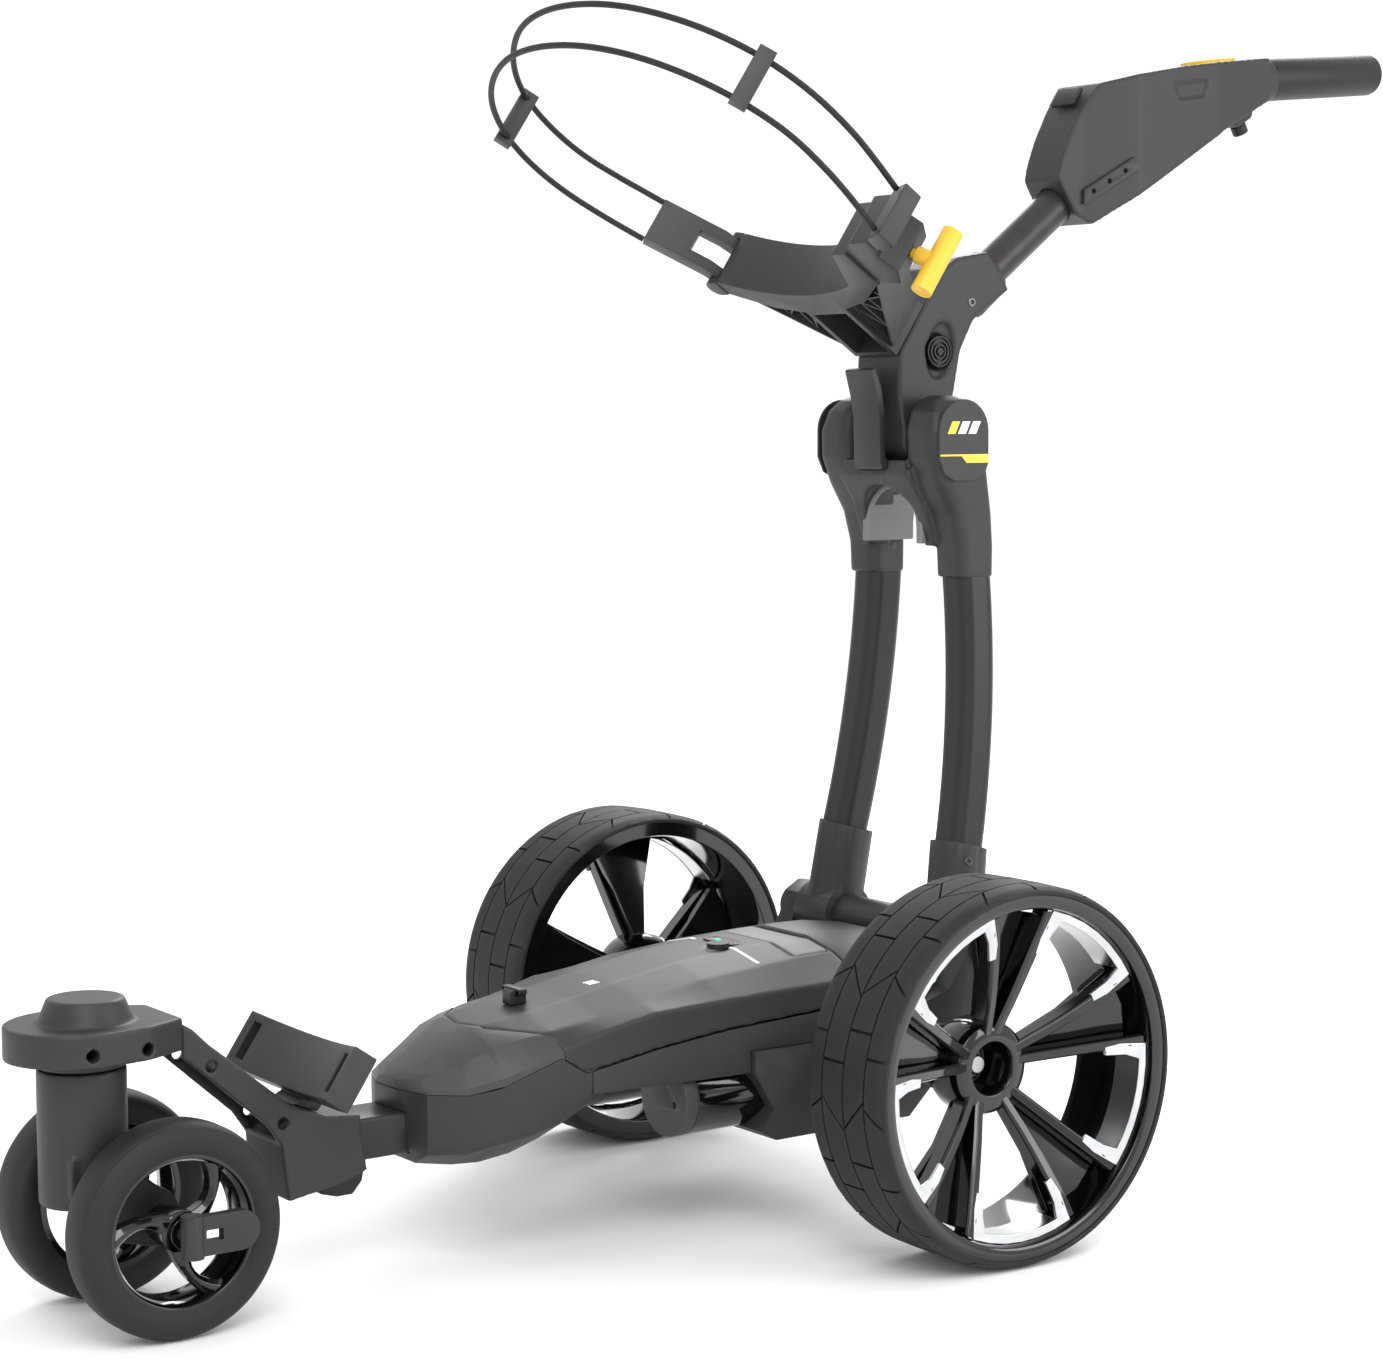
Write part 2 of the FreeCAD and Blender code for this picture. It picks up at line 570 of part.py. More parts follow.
stem_tubes = []
sockets = []
for name, side in SIDES:
    low = V(side * 77.9, 100.5, 242)
    mid = V(side * 65.9, 129.4, 402.8)
    top = V(side * 55.4, 132.8, 525)
    path = Part.Arc(low, mid, top)
    start = path.tangent(path.FirstParameter)[0]
    section = rounded_square(low, start, size["stem_side"], 11)
    tube = Part.Wire([path.toShape()]).makePipeShell([section], True, True)
    stem_tubes.append(shaped(f"{name}_stem_tube", tube))

    lower = Part.Wire([Part.makeCircle(24, V(side * 78.5, 103, 222), V(0, 0.1, 1))])
    upper = Part.Wire([Part.makeCircle(23.5, V(side * 74, 112, 286), start)])
    cone = Part.makeLoft([lower, upper], True)
    ring = Part.makeCylinder(25, 44, V(56 if side > 0 else -100, size["fold_y"], size["fold_z"]),
                             V(1, 0, 0))
    hole = Part.makeCylinder(size["fold_radius"] + size["running_gap"], 60,
                             V(48 if side > 0 else -108, size["fold_y"], size["fold_z"]), V(1, 0, 0))
    sockets.append(shaped(f"{name}_socket", cone.fuse(ring).cut(hole).cut(tube)))
node(group("stem_tubes_group", stem_tubes), "stem_tubes")
node(group("stem_sockets_group", sockets), "stem_sockets")

front_view = [(-79, 505), (-79, 628), (-76.5, 639), (-68, 648.5), (-53, 653.5), (53, 653.5), (68, 648.5),
              (76.5, 639), (79, 628), (79, 505), (34, 505), (34, 546), ("arc", 0, 580), (-34, 546), (-34, 505)]
side_view = [(110, 505), (156, 505), (150, 560), (142, 592), (142, 622), ("arc", 111, 653.5), (81, 622),
             (81, 596), (98, 565)]
yoke_front = place(padded("yoke_front", "XZ_Plane", front_view, 400))
yoke_side = place(padded("yoke_side", "YZ_Plane", side_view, 200))
yoke_room = block("yoke_room", (-35.5, 60, 592), (35.5, 180, 700))
yoke_back = block("yoke_back", (-35.5, 106, 560), (35.5, 180, 600))
pin_bore = rod("yoke_pin_bore", "pivot_radius", 200, (-100, "pivot_y", "pivot_z"))
yoke = minus("yoke_cut", overlap("yoke_solid", yoke_front, yoke_side), yoke_room, yoke_back, pin_bore,
             *stem_tubes)
node(yoke, "yoke")
node(rod("fold_pin_rod", "pivot_radius", 156, (-78, "pivot_y", "pivot_z")), "fold_pin")
pad_outline = [(-34, 530), (-34, 546), ("arc", 0, 580), (34, 546), (34, 530), (30, 530), (30, 546),
               ("arc", 0, 576), (-30, 546), (-30, 530)]
pad_ring = place(padded("yoke_liner", "XZ_Plane", pad_outline, 400))
pad_side = place(padded("pad_side", "YZ_Plane", [
    (104, 530), (101, 550), (93, 575), (93, 590), (150, 590), (153, 530)], 200))
head_path = block("pad_head_path", (-29, 106, 553), (29, 200, 700))
node(minus("yoke_pad_cut", overlap("yoke_pad_solid", pad_ring, pad_side), head_path), "yoke_pad")
yoke_caps = []
for name, side in SIDES:
    cap = place(padded(f"{name}_yoke_cap", "YZ_Plane", [
        (84, 602), (84, 624), ("arc", 111, 651), (138, 624), (138, 598), ("arc", 131, 587), (120, 583),
        (102, 583), ("arc", 89, 588)], 3, False), (79 if side > 0 else -82, 0, 0))
    yoke_caps.append(cap)
node(group("yoke_caps_group", yoke_caps), "yoke_caps")
tongue = place(padded("latch_tongue_pad", "YZ_Plane", [
    (74, 600), (76, 593), (84, 592.3), (92, 592.3), (92, 597.5), (84, 600), (80.5, 604), (80.5, 640), (77, 660), (70, 676), (64, 674), (70, 652), (73, 636)], 34))
node(tongue, "latch_tongue")

# ---------------------------------------------------------------- head, bag cradle
head_profile = [(92, 622), ("arc", 112, 595), (134, 617), (145, 655), (152, 690), (166, 715),
                (205, 741), (182, 772), (150, 767), (133.6, 757), (87.7, 690), (86, 682), (86, 655)]
head_solid = place(padded("head_solid", "YZ_Plane", head_profile, 56))
head_bore = rod("head_bore", "pivot_radius + running_gap", 100, (-50, "pivot_y", "pivot_z"))
upper_bore = rod("upper_bore", "upper_radius", 100, (0, 175, 735.465), (0, 79, 60))
disc_room = rod("disc_room", 13.3, 20, (20, 129, 689))
node(rod("head_disc_rod", 13, 6, (22.5, 129, 689)), "head_button")
collar_ring = rod("collar_ring", 23, 16, (0, 189.5, 746.5), (0, 79, 60))
head_join = joined("head_join", head_solid, collar_ring)
node(minus("head_casting_cut", head_join, head_bore, upper_bore, disc_room), "head_casting")
node(rod("upper_tube_rod", "upper_radius", 128, (0, 184, 742.3), (0, 79, 60)), "upper_tube")

saddle = place_on_hoop(padded("saddle", "XY_Plane", [
    (-100, -136), (-96, -136), ("arc", -20, -158), (62, -150), (82, -110), (98, -110), (98, -150),
    (60, -172), (27, -180), (27, -244.6), (-27, -244.6), (-27, -182), (-60, -174), (-100, -152)], 50))
ear = []
for low in (-26, 20):
    lug = padded(f"cradle_ear_{low + 26}", "XY_Plane", [
        (-100, -136), (-100, -152), (-108, -152), ("arc", -117, -143), (-108, -134)], 6, False)
    ear.append(place_on_hoop(lug, (0, 0, low)))
web_rooms = []
for side in (-1, 1):
    room = padded(f"web_room_{side + 1}", "XY_Plane", [(-21, -240), (21, -240), (21, -186), (-21, -186)],
                  20, False)
    web_rooms.append(place_on_hoop(room, (0, 0, 5 if side > 0 else -25)))
pin = doc.addObject("Part::Cylinder", "hoop_pin_rod")
pin.Radius = 3
pin.Height = 52
place_on_hoop(pin, (size["hinge_x"], size["hinge_v"], -26))
node(minus("cradle_cut", joined("cradle_join", saddle, pin, *ear), *web_rooms), "bag_cradle")
catch = place_on_hoop(padded("catch_form", "XY_Plane", [
    (98.3, -150), (98.3, -110), (112, -100), (134, -100), (134, -112), (128, -120), (134, -138),
    (122, -154)], 46))
catch_bore = doc.addObject("Part::Cylinder", "catch_bore")
catch_bore.Radius = 4.05
catch_bore.Height = 30
PULL = (0.81, -0.586)
pull_turn = FreeCAD.Rotation(V(0, 0, 1), V(*PULL, 0))
place_on_hoop(catch_bore, (130 - 22 * PULL[0], -146.5 - 22 * PULL[1], 0), pull_turn)
node(minus("catch_cut", catch, catch_bore), "hoop_catch")
pull_pieces = []
for label, radius, length, start in (("pull_rod", 4, 22, -15), ("pull_stem", 7, 17, 2)):
    piece = doc.addObject("Part::Cylinder", label)
    piece.Radius = radius
    piece.Height = length
    pull_pieces.append(place_on_hoop(piece, (130 + start * PULL[0], -146.5 + start * PULL[1], 0),
                                     pull_turn))
bar = doc.addObject("Part::Cylinder", "pull_bar")
bar.Radius = 8.5
bar.Height = 56
pull_pieces.append(place_on_hoop(bar, (130 + 19 * PULL[0], -146.5 + 19 * PULL[1], -28)))
node(joined("pull_join", *pull_pieces), "pull_handle")

# ---------------------------------------------------------------- bag hoop
buckle = place_on_hoop(padded("buckle_form", "XY_Plane", [
    (-101.2, -143), ("arc", -108, -150), (-114.8, -143), (-118, -132), (-151, -85), (-139, -77),
    (-106, -124)], 39))
buckle_hole = place_on_hoop(padded("buckle_pin_hole", "XY_Plane", [
    (-111.05, -143), ("arc", -108, -139.95), (-104.95, -143), ("arc", -108, -146.05)], 80))
window = doc.addObject("Part::Box", "buckle_window")
window.Length = 32
window.Width = 60
window.Height = 20
lean = FreeCAD.Rotation(V(0, 0, 1), 125)
place_on_hoop(window, (-94, -131, -10), lean)
node(minus("buckle_cut", buckle, buckle_hole, window), "hoop_buckle")


def cord_tube(points, diameter):
    """Straight runs joined by tangent arcs, as large as the runs on both sides allow."""
    points = [V(*p) for p in points]
    runs = [(b - a).Length for a, b in zip(points, points[1:])]
    edges = []
    radii = []
    here = points[0]
    for index in range(1, len(points) - 1):
        before = (points[index] - points[index - 1]).normalize()
        after = (points[index + 1] - points[index]).normalize()
        half = before.getAngle(after) / 2
        reach = 0.45 * min(runs[index - 1], runs[index])
        radius = reach / math.tan(half)
        start = points[index] - before * reach
        end = points[index] + after * reach
        inward = (after - before).normalize()
        middle = points[index] + inward * (radius / math.cos(half) - radius)
        edges.append(Part.makeLine(here, start))
        edges.append(Part.Arc(start, middle, end).toShape())
        radii.append(radius)
        here = end
    edges.append(Part.makeLine(here, points[-1]))
    path = Part.Wire(edges)
    circle = Part.Wire([Part.makeCircle(diameter / 2, points[0], points[1] - points[0])])
    tube = path.makePipeShell([circle], True, True)
    ratio = tube.Volume / (math.pi * diameter ** 2 / 4 * path.Length)
    print(f"cord: length {path.Length:.1f}, volume over section times length {ratio:.4f}")
    print("arc radii: " + " ".join(f"{radius:.0f}" for radius in radii))
    return tube


# Both routes lie in planes square to the bag's axis: (across, up the hoop's plane).
CORD_UP = [(-144.5, -80.1), (-153, -65), (-166, -43), (-181, -11), (-182, 26), (-172, 62), (-150, 93),
           (-119, 119), (-80, 141), (-36, 153), (10, 155), (57, 147), (98, 129), (133, 102),
           (158, 68), (170, 28), (170, -14), (162, -54), (151, -90)]
CORD_LOW = [(-144.5, -80.1), (-152, -67), (-164, -44), (-177, -12), (-180, 24), (-171, 60), (-151, 91),
            (-122, 117), (-84, 138), (-42, 151), (4, 154), (50, 147), (93, 129), (129, 101),
            (155, 67), (170, 28), (169, -14), (162, -54), (151, -90)]
for label, route, down in (("hoop_cord_upper", CORD_UP, -size["cord_apart"]),
                           ("hoop_cord_lower", CORD_LOW, size["cord_apart"])):
    points = [on_hoop(x, v, down) for x, v in route]
    node(shaped(label + "_tube", cord_tube(points, size["cord_diameter"])), label)

cords = [labelled("hoop_cord_upper"), labelled("hoop_cord_lower")]
clips = []
for label, (x, v), lean in (("left_hoop_clip", (-172, 62), 110), ("right_hoop_clip", (158, 68), 120)):
    clip = padded(label + "_form", "XY_Plane", [(-7, -4.5), (7, -4.5), (7, 4.5), (-7, 4.5)], 50)
    place_on_hoop(clip, (x, v, 0), FreeCAD.Rotation(V(0, 0, 1), lean))
    clips.append(minus(label + "_cut", clip, *cords))
node(group("hoop_clips_group", clips), "hoop_clips")
hook = place_on_hoop(padded("hook_form", "XY_Plane", [
    (142, -94), (160, -90), (160, -108), (150, -112), (138, -110), (138, -98)], 48))
node(minus("hook_cut", hook, *cords), "hoop_hook")

# ---------------------------------------------------------------- handle
housing_side = place(padded("housing_side", "YZ_Plane", [
    (264, 836), ("arc", 281, 880), (308, 918), (345, 927), (400, 937), (450, 944), (514, 952), (516, 915),
    (450, 885), (370, 838), (300, 798), (284, 806)], 200))
housing_plan = place(padded("housing_plan", "XY_Plane", [
    (-22, 260), (-24, 290), (-37, 345), (-37, 440), (-24, 520), (24, 520), (37, 440), (37, 345),
    (24, 290), (22, 260)], 400, False), (0, 0, 700))
housing_room = place(padded("housing_room", "YZ_Plane", [
    (306, 850), (322, 905), (400, 922), (480, 935), (480, 910), (440, 890), (370, 848), (322, 824)], 44))
upper_hole = rod("housing_tube_hole", "upper_radius", 128, (0, 184, 742.3), (0, 79, 60))
dial_hole = rod("housing_dial_hole", 24.4, 30, (0, 462.06, 937.1), (0, -0.12, 1))
flap_room = place(padded("flap_room", "YZ_Plane", [
    (296, 906), (301, 914), (296.5, 917), (285, 900), (290.5, 897)], 30))
clip_form = place(padded("clip_form", "YZ_Plane", [
    (478, 900), (510, 915), (507, 900), (490, 890)], 22))
housing_solid = joined("housing_solid", overlap("housing_block", housing_side, housing_plan), clip_form)
node(minus("housing_cut", housing_solid, housing_room, upper_hole, dial_hole, flap_room),
     "handle_housing")
grip_rod = rod("grip_rod", "grip_radius", 149, (0, 516.5, 933.8), (0, 152, 14.5))
grip_cap = rod("grip_cap", "grip_radius - 0.8", 2.6, (0, 664.8, 947.94), (0, 152, 14.5))
node(joined("grip_join", grip_rod, grip_cap), "handle_grip")

DIAL_AXIS = (0, -0.12, 1)
dial_ring = rod("dial_ring", 24, 11, (0, 462, 937.6), DIAL_AXIS)
dial_room = rod("dial_room", 17.05, 20, (0, 462.3, 935), DIAL_AXIS)
node(minus("dial_cut", dial_ring, dial_room), "speed_dial")
node(rod("dial_button_rod", 17, 10, (0, 461.9, 938.6), DIAL_AXIS), "dial_button")
flap = place(padded("flap_form", "YZ_Plane", [
    (296.4, 907), (299.8, 912.8), (296.4, 915.4), (286.4, 900.4), (290.2, 898.4)], 28))
node(flap, "charge_flap")
rail_strip = place(padded("rail_strip", "YZ_Plane", [
    (288, 814), (342, 847), (337, 856), (283, 823)], 200))
rails = []
for name, side in SIDES:
    rail_plan = place(padded(f"{name}_rail_plan", "XY_Plane", [
        (side * 24.2, 290), (side * 37.2, 345), (side * 40.2, 344.3), (side * 27.2, 289.3)],
        200, False), (0, 0, 760))
    rail_holes = [rod(f"{name}_rail_hole_{count}", 2.2, 24,
                      ((20 if side > 0 else -44), 298 + 15 * count, 826 + 9 * count))
                  for count in range(3)]
    rails.append(minus(f"{name}_rail_cut", overlap(f"{name}_rail", rail_plan, rail_strip), *rail_holes))
node(group("accessory_rails_group", rails), "accessory_rails")
node(rod("clip_knob_rod", 7, 9, (0, 499, 894.1), (0, 0.5, -0.86)), "clip_knob")

# ---------------------------------------------------------------- checks and files
doc.recompute()
troubled = [obj.Label for obj in doc.Objects if {"Invalid", "Error"} & set(obj.State)]
for obj in nodes:
    if obj.Shape.isNull() or not obj.Shape.isValid() or not obj.Shape.Solids:
        troubled.append(obj.Label)
if troubled:
    raise RuntimeError("failed: " + ", ".join(troubled))
os.makedirs("parts", exist_ok=True)
for obj in nodes:
    obj.Shape.exportStep(f"parts/{obj.Label}.step")
whole = Part.makeCompound([obj.Shape for obj in nodes]).BoundBox
print(f"{len(nodes)} nodes, box x {whole.XMin:.1f} {whole.XMax:.1f}, y {whole.YMin:.1f} "
      f"{whole.YMax:.1f}, z {whole.ZMin:.1f} {whole.ZMax:.1f}")
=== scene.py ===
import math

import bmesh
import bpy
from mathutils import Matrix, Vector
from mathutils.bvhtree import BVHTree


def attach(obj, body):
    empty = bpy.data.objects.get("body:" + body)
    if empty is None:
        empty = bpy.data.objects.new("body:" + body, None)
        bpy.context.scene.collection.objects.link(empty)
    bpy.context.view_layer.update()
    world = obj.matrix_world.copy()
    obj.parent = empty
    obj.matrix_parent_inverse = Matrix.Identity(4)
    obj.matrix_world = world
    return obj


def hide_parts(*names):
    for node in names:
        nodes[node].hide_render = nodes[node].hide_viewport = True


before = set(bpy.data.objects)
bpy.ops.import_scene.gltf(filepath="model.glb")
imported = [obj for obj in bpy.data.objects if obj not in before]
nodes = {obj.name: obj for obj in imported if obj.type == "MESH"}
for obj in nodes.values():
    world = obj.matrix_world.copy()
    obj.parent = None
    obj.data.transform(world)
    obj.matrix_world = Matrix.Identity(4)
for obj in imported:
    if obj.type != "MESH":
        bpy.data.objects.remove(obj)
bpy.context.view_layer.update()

# %% [markdown]
# # An electric golf trolley
# The metal and plastic structure arrives as the frame, already the right size and in the right place.
# What is made here is everything the eye adds: tread, bright inserts, soft edges on mouldings, screws,
# ribs, cords, surface grain and light. First come the imports and the frame.

AXLE_Y = 0.0077
SIDES = (("left", 1), ("right", -1))

# %% [markdown]
# ## Camera
# The trolley is seen from its front left, a little above the height of its battery, with a fairly
# long lens. The camera is turned by three angles about the vertical, the horizon and its own line of
# sight, so a matrix of its own right, up and back directions says it most plainly.

# %% Camera
AZIMUTH, ELEVATION, ROLL = math.radians(54.52), math.radians(5.233), math.radians(-0.2)
right = Vector((math.cos(AZIMUTH), math.sin(AZIMUTH), 0))
up = Vector((-math.sin(AZIMUTH) * math.sin(ELEVATION), math.cos(AZIMUTH) * math.sin(ELEVATION),
             math.cos(ELEVATION)))
back = right.cross(up)
level = Matrix((right, up, back)).transposed()
camera_data = bpy.data.cameras.new("view_from_front_left")
camera_data.lens = 78.56
camera_data.sensor_fit = "HORIZONTAL"
camera = bpy.data.objects.new("view_from_front_left", camera_data)
bpy.context.scene.collection.objects.link(camera)
camera.matrix_world = (Matrix.Translation((1.94426, -1.48936 + AXLE_Y, 0.64705))
                       @ (level @ Matrix.Rotation(ROLL, 3, "Z")).to_4x4())
bpy.context.scene.camera = camera
print("camera at", tuple(camera.location))

# %% [markdown]
# ## Light and floor
# Dark plastic shows its form by what it mirrors, not by its own colour. So the light is a bright pale
# room with large soft panels: one high at the front, one high behind for the rims of the tubes, and
# one at the side. The Standard view leaves the white of the room and the floor white.

# %% Light and floor
def soft_panel(name, place, aim, width, height, watts):
    """An area light that faces a point."""
    data = bpy.data.lights.new(name, "AREA")
    data.shape = "RECTANGLE"
    data.size, data.size_y, data.energy = width, height, watts
    lamp = bpy.data.objects.new(name, data)
    bpy.context.scene.collection.objects.link(lamp)
    lamp.location = place
    lamp.rotation_euler = (Vector(aim) - Vector(place)).to_track_quat("-Z", "Y").to_euler()
    return lamp


world = bpy.data.worlds.new("pale_room")
bpy.context.scene.world = world
world.use_nodes = True
world.node_tree.nodes["Background"].inputs["Color"].default_value = (1, 1, 1, 1)
world.node_tree.nodes["Background"].inputs["Strength"].default_value = 1.1
bpy.context.scene.view_settings.view_transform = "Standard"
soft_panel("panel_high", (2.2, -1.6, 2.6), (0, 0, 0.4), 1.8, 1.8, 60)
soft_panel("panel_behind", (-1.8, 1.8, 2.2), (0, 0, 0.5), 2.0, 1.4, 60)
soft_panel("panel_side", (2.4, 1.6, 1.2), (0.2, 0, 0.3), 1.4, 1.4, 30)

bpy.ops.mesh.primitive_plane_add(size=30, location=(0, 0, 0))
floor = bpy.context.object
floor.name = "floor"

# %% [markdown]
# ## Surface effects shared by several finishes
# Moulded plastic is never quite even. It has a fine spark-eroded grain and slow drifts of tone, and its
# sharp edges are given a painted highlight, lighter than the flats. Each of these is a group of shader
# nodes with its own inputs, made once and placed in every finish that needs it.

# %% Shared shader groups
def shader_group(name, inputs, outputs):
    """An empty group with float inputs and typed outputs, and its two end nodes."""
    tree = bpy.data.node_groups.new(name, "ShaderNodeTree")
    for label, value in inputs:
        socket = tree.interface.new_socket(label, in_out="INPUT", socket_type="NodeSocketFloat")
        socket.default_value = value
    for label, kind in outputs:
        tree.interface.new_socket(label, in_out="OUTPUT", socket_type=kind)
    return tree, tree.nodes.new("NodeGroupInput"), tree.nodes.new("NodeGroupOutput")


def moulding_grain():
    """Fine pits for a Bump node's height, and a slow drift between 0 and 1."""
    tree, start, end = shader_group("moulding_grain", [("Grain Scale", 900.0), ("Drift Scale", 6.0)],
                                    [("Height", "NodeSocketFloat"), ("Drift", "NodeSocketFloat")])
    place = tree.nodes.new("ShaderNodeTexCoord")
    for label, output, detail in (("Grain Scale", "Height", 2.0), ("Drift Scale", "Drift", 3.0)):
        noise = tree.nodes.new("ShaderNodeTexNoise")
        noise.inputs["Detail"].default_value = detail
        tree.links.new(place.outputs["Object"], noise.inputs["Vector"])
        tree.links.new(start.outputs[label], noise.inputs["Scale"])
        tree.links.new(noise.outputs["Fac"], end.inputs[output])
    return tree


def painted_edge_highlight():
    """Painted highlight: 1 along a sharp outer edge and 0 on the flats, broken up by noise."""
    tree, start, end = shader_group("painted_edge_highlight", [("Edge", 0.52), ("Softness", 0.06)],
                                    [("Mask", "NodeSocketFloat")])
    geometry = tree.nodes.new("ShaderNodeNewGeometry")
    high = tree.nodes.new("ShaderNodeMath")
    high.operation = "ADD"
    tree.links.new(start.outputs["Edge"], high.inputs[0])
    tree.links.new(start.outputs["Softness"], high.inputs[1])
    ramp = tree.nodes.new("ShaderNodeMapRange")
    tree.links.new(geometry.outputs["Pointiness"], ramp.inputs["Value"])
    tree.links.new(start.outputs["Edge"], ramp.inputs["From Min"])
    tree.links.new(high.outputs[0], ramp.inputs["From Max"])
    place = tree.nodes.new("ShaderNodeTexCoord")
    noise = tree.nodes.new("ShaderNodeTexNoise")
    noise.inputs["Scale"].default_value = 60.0
    tree.links.new(place.outputs["Object"], noise.inputs["Vector"])
    broken = tree.nodes.new("ShaderNodeMath")
    broken.operation = "MULTIPLY"
    tree.links.new(ramp.outputs["Result"], broken.inputs[0])
    tree.links.new(noise.outputs["Fac"], broken.inputs[1])
    tree.links.new(broken.outputs[0], end.inputs["Mask"])
    return tree


GRAIN = moulding_grain()
EDGE_HIGHLIGHT = painted_edge_highlight()
print("groups:", GRAIN.name, EDGE_HIGHLIGHT.name)

# %% [markdown]
# ## Finishes
# Most finishes differ only in tone, gloss and the depth of their grain, so one recipe makes them all.
# The tone drifts between two values, the grain goes to a Bump node, and sharp edges get a painted
# highlight that turns them a little lighter.

# %% The recipe for a finish
def finish(name, dark, light, rough, grain=900.0, depth=0.00003, metallic=0.0, coat=0.0, highlight_lift=0.5,
           shine=0.35):
    """A Principled material whose tone and roughness vary as the real surface's do, and whose sharp edges
    carry a painted highlight.
    """
    material = bpy.data.materials.new(name)
    material.use_nodes = True
    tree = material.node_tree
    shader = tree.nodes["Principled BSDF"]
    shader.inputs["Metallic"].default_value = metallic
    shader.inputs["Coat Weight"].default_value = coat
    shader.inputs["Coat Roughness"].default_value = 0.05
    shader.inputs["Specular IOR Level"].default_value = shine
    grains = tree.nodes.new("ShaderNodeGroup")
    grains.node_tree = GRAIN
    grains.inputs["Grain Scale"].default_value = grain
    tone = tree.nodes.new("ShaderNodeMix")
    tone.data_type = "RGBA"
    tone.inputs["A"].default_value = (*dark, 1)
    tone.inputs["B"].default_value = (*light, 1)
    tree.links.new(grains.outputs["Drift"], tone.inputs["Factor"])
    # Painted highlight: the edge mask mixes sharp outer edges towards a lighter tone.
    edges = tree.nodes.new("ShaderNodeGroup")
    edges.node_tree = EDGE_HIGHLIGHT
    edge_highlight_mix = tree.nodes.new("ShaderNodeMix")
    edge_highlight_mix.data_type = "RGBA"
    edge_highlight_mix.inputs["B"].default_value = (*[min(1, c * 1.6 + 0.012 * highlight_lift) for c in light], 1)
    tree.links.new(edges.outputs["Mask"], edge_highlight_mix.inputs["Factor"])
    tree.links.new(tone.outputs["Result"], edge_highlight_mix.inputs["A"])
    tree.links.new(edge_highlight_mix.outputs["Result"], shader.inputs["Base Color"])
    gloss = tree.nodes.new("ShaderNodeMapRange")
    gloss.inputs["To Min"].default_value = rough * 0.88
    gloss.inputs["To Max"].default_value = min(1, rough * 1.12)
    tree.links.new(grains.outputs["Drift"], gloss.inputs["Value"])
    tree.links.new(gloss.outputs["Result"], shader.inputs["Roughness"])
    bump = tree.nodes.new("ShaderNodeBump")
    bump.inputs["Distance"].default_value = depth
    tree.links.new(grains.outputs["Height"], bump.inputs["Height"])
    tree.links.new(bump.outputs["Normal"], shader.inputs["Normal"])
    return material


# %% The finishes
CHARCOAL = finish("charcoal_moulding", (0.019, 0.0195, 0.020), (0.025, 0.0255, 0.0265), 0.48)
BLACK_TRIM = finish("black_trim", (0.004, 0.004, 0.0045), (0.006, 0.006, 0.0065), 0.42)
GREY_TOP = finish("grey_top", (0.034, 0.035, 0.036), (0.042, 0.043, 0.044), 0.46)
PAD_GREY = finish("pad_grey", (0.13, 0.135, 0.14), (0.16, 0.165, 0.17), 0.55)
PIANO_BLACK = finish("piano_black", (0.0015, 0.0015, 0.0018), (0.0025, 0.0025, 0.003), 0.10, depth=0.000004,
                     coat=0.5, highlight_lift=0.1)
TREAD_RUBBER = finish("tread_rubber", (0.009, 0.009, 0.0095), (0.013, 0.013, 0.0138), 0.62, grain=500.0,
                      depth=0.00006, shine=0.3)
CASTOR_RUBBER = finish("castor_rubber", (0.011, 0.011, 0.0115), (0.015, 0.015, 0.016), 0.60, grain=600.0,
                       shine=0.3)
SILVER = finish("bright_insert", (0.40, 0.41, 0.42), (0.50, 0.51, 0.52), 0.26, grain=1500.0,
                depth=0.000008, metallic=1.0)
STEEL = finish("turned_steel", (0.34, 0.33, 0.32), (0.46, 0.45, 0.44), 0.30, grain=2000.0,
               depth=0.00001, metallic=1.0)
ANODISED = finish("anodised_tube", (0.018, 0.016, 0.0155), (0.025, 0.0225, 0.0215), 0.36, grain=1600.0,
                  depth=0.00001, metallic=0.35)
YELLOW = finish("yellow_moulding", (0.66, 0.39, 0.03), (0.74, 0.45, 0.04), 0.42, highlight_lift=1.0)
GRIP_RUBBER = finish("grip_rubber", (0.006, 0.006, 0.0065), (0.010, 0.010, 0.0105), 0.46, grain=700.0,
                     depth=0.00005)
SCREW_STEEL = finish("dark_screw", (0.05, 0.05, 0.05), (0.09, 0.09, 0.09), 0.30, metallic=0.9)
WHITE_MARK = finish("white_mark", (0.75, 0.75, 0.75), (0.82, 0.82, 0.82), 0.5)
CIRCUIT = finish("lacquered_board", (0.01, 0.10, 0.04), (0.02, 0.14, 0.06), 0.3)
CELL_BLUE = finish("cell_sleeve", (0.03, 0.10, 0.32), (0.05, 0.14, 0.42), 0.35)
FLOOR = finish("studio_floor", (0.92, 0.92, 0.92), (0.94, 0.94, 0.94), 0.8, grain=30.0, highlight_lift=0.0)
floor.data.materials.append(FLOOR)

LAMP = bpy.data.materials.new("green_lamp")
LAMP.use_nodes = True
LAMP.node_tree.nodes["Principled BSDF"].inputs["Base Color"].default_value = (0.05, 0.7, 0.2, 1)
LAMP.node_tree.nodes["Principled BSDF"].inputs["Emission Color"].default_value = (0.05, 0.8, 0.25, 1)
LAMP.node_tree.nodes["Principled BSDF"].inputs["Emission Strength"].default_value = 1.5
print("finishes:", len(bpy.data.materials))

# %% [markdown]
# ## The bag hoop's cords
# Two elastic cords run from the buckle, round where the bag will be, to the hook. Each lies in a plane
# square to the bag's axis and is as taut as its clips hold it, so a smooth spline through a few
# listed points is the whole shape. The hoop has its own frame: across the trolley, up the hoop's
# plane, and down the bag's axis.

# %% The hoop's own frame
HOOP_TURN = math.radians(145.6)
HOOP_Y, HOOP_Z = -103.7, 844.3


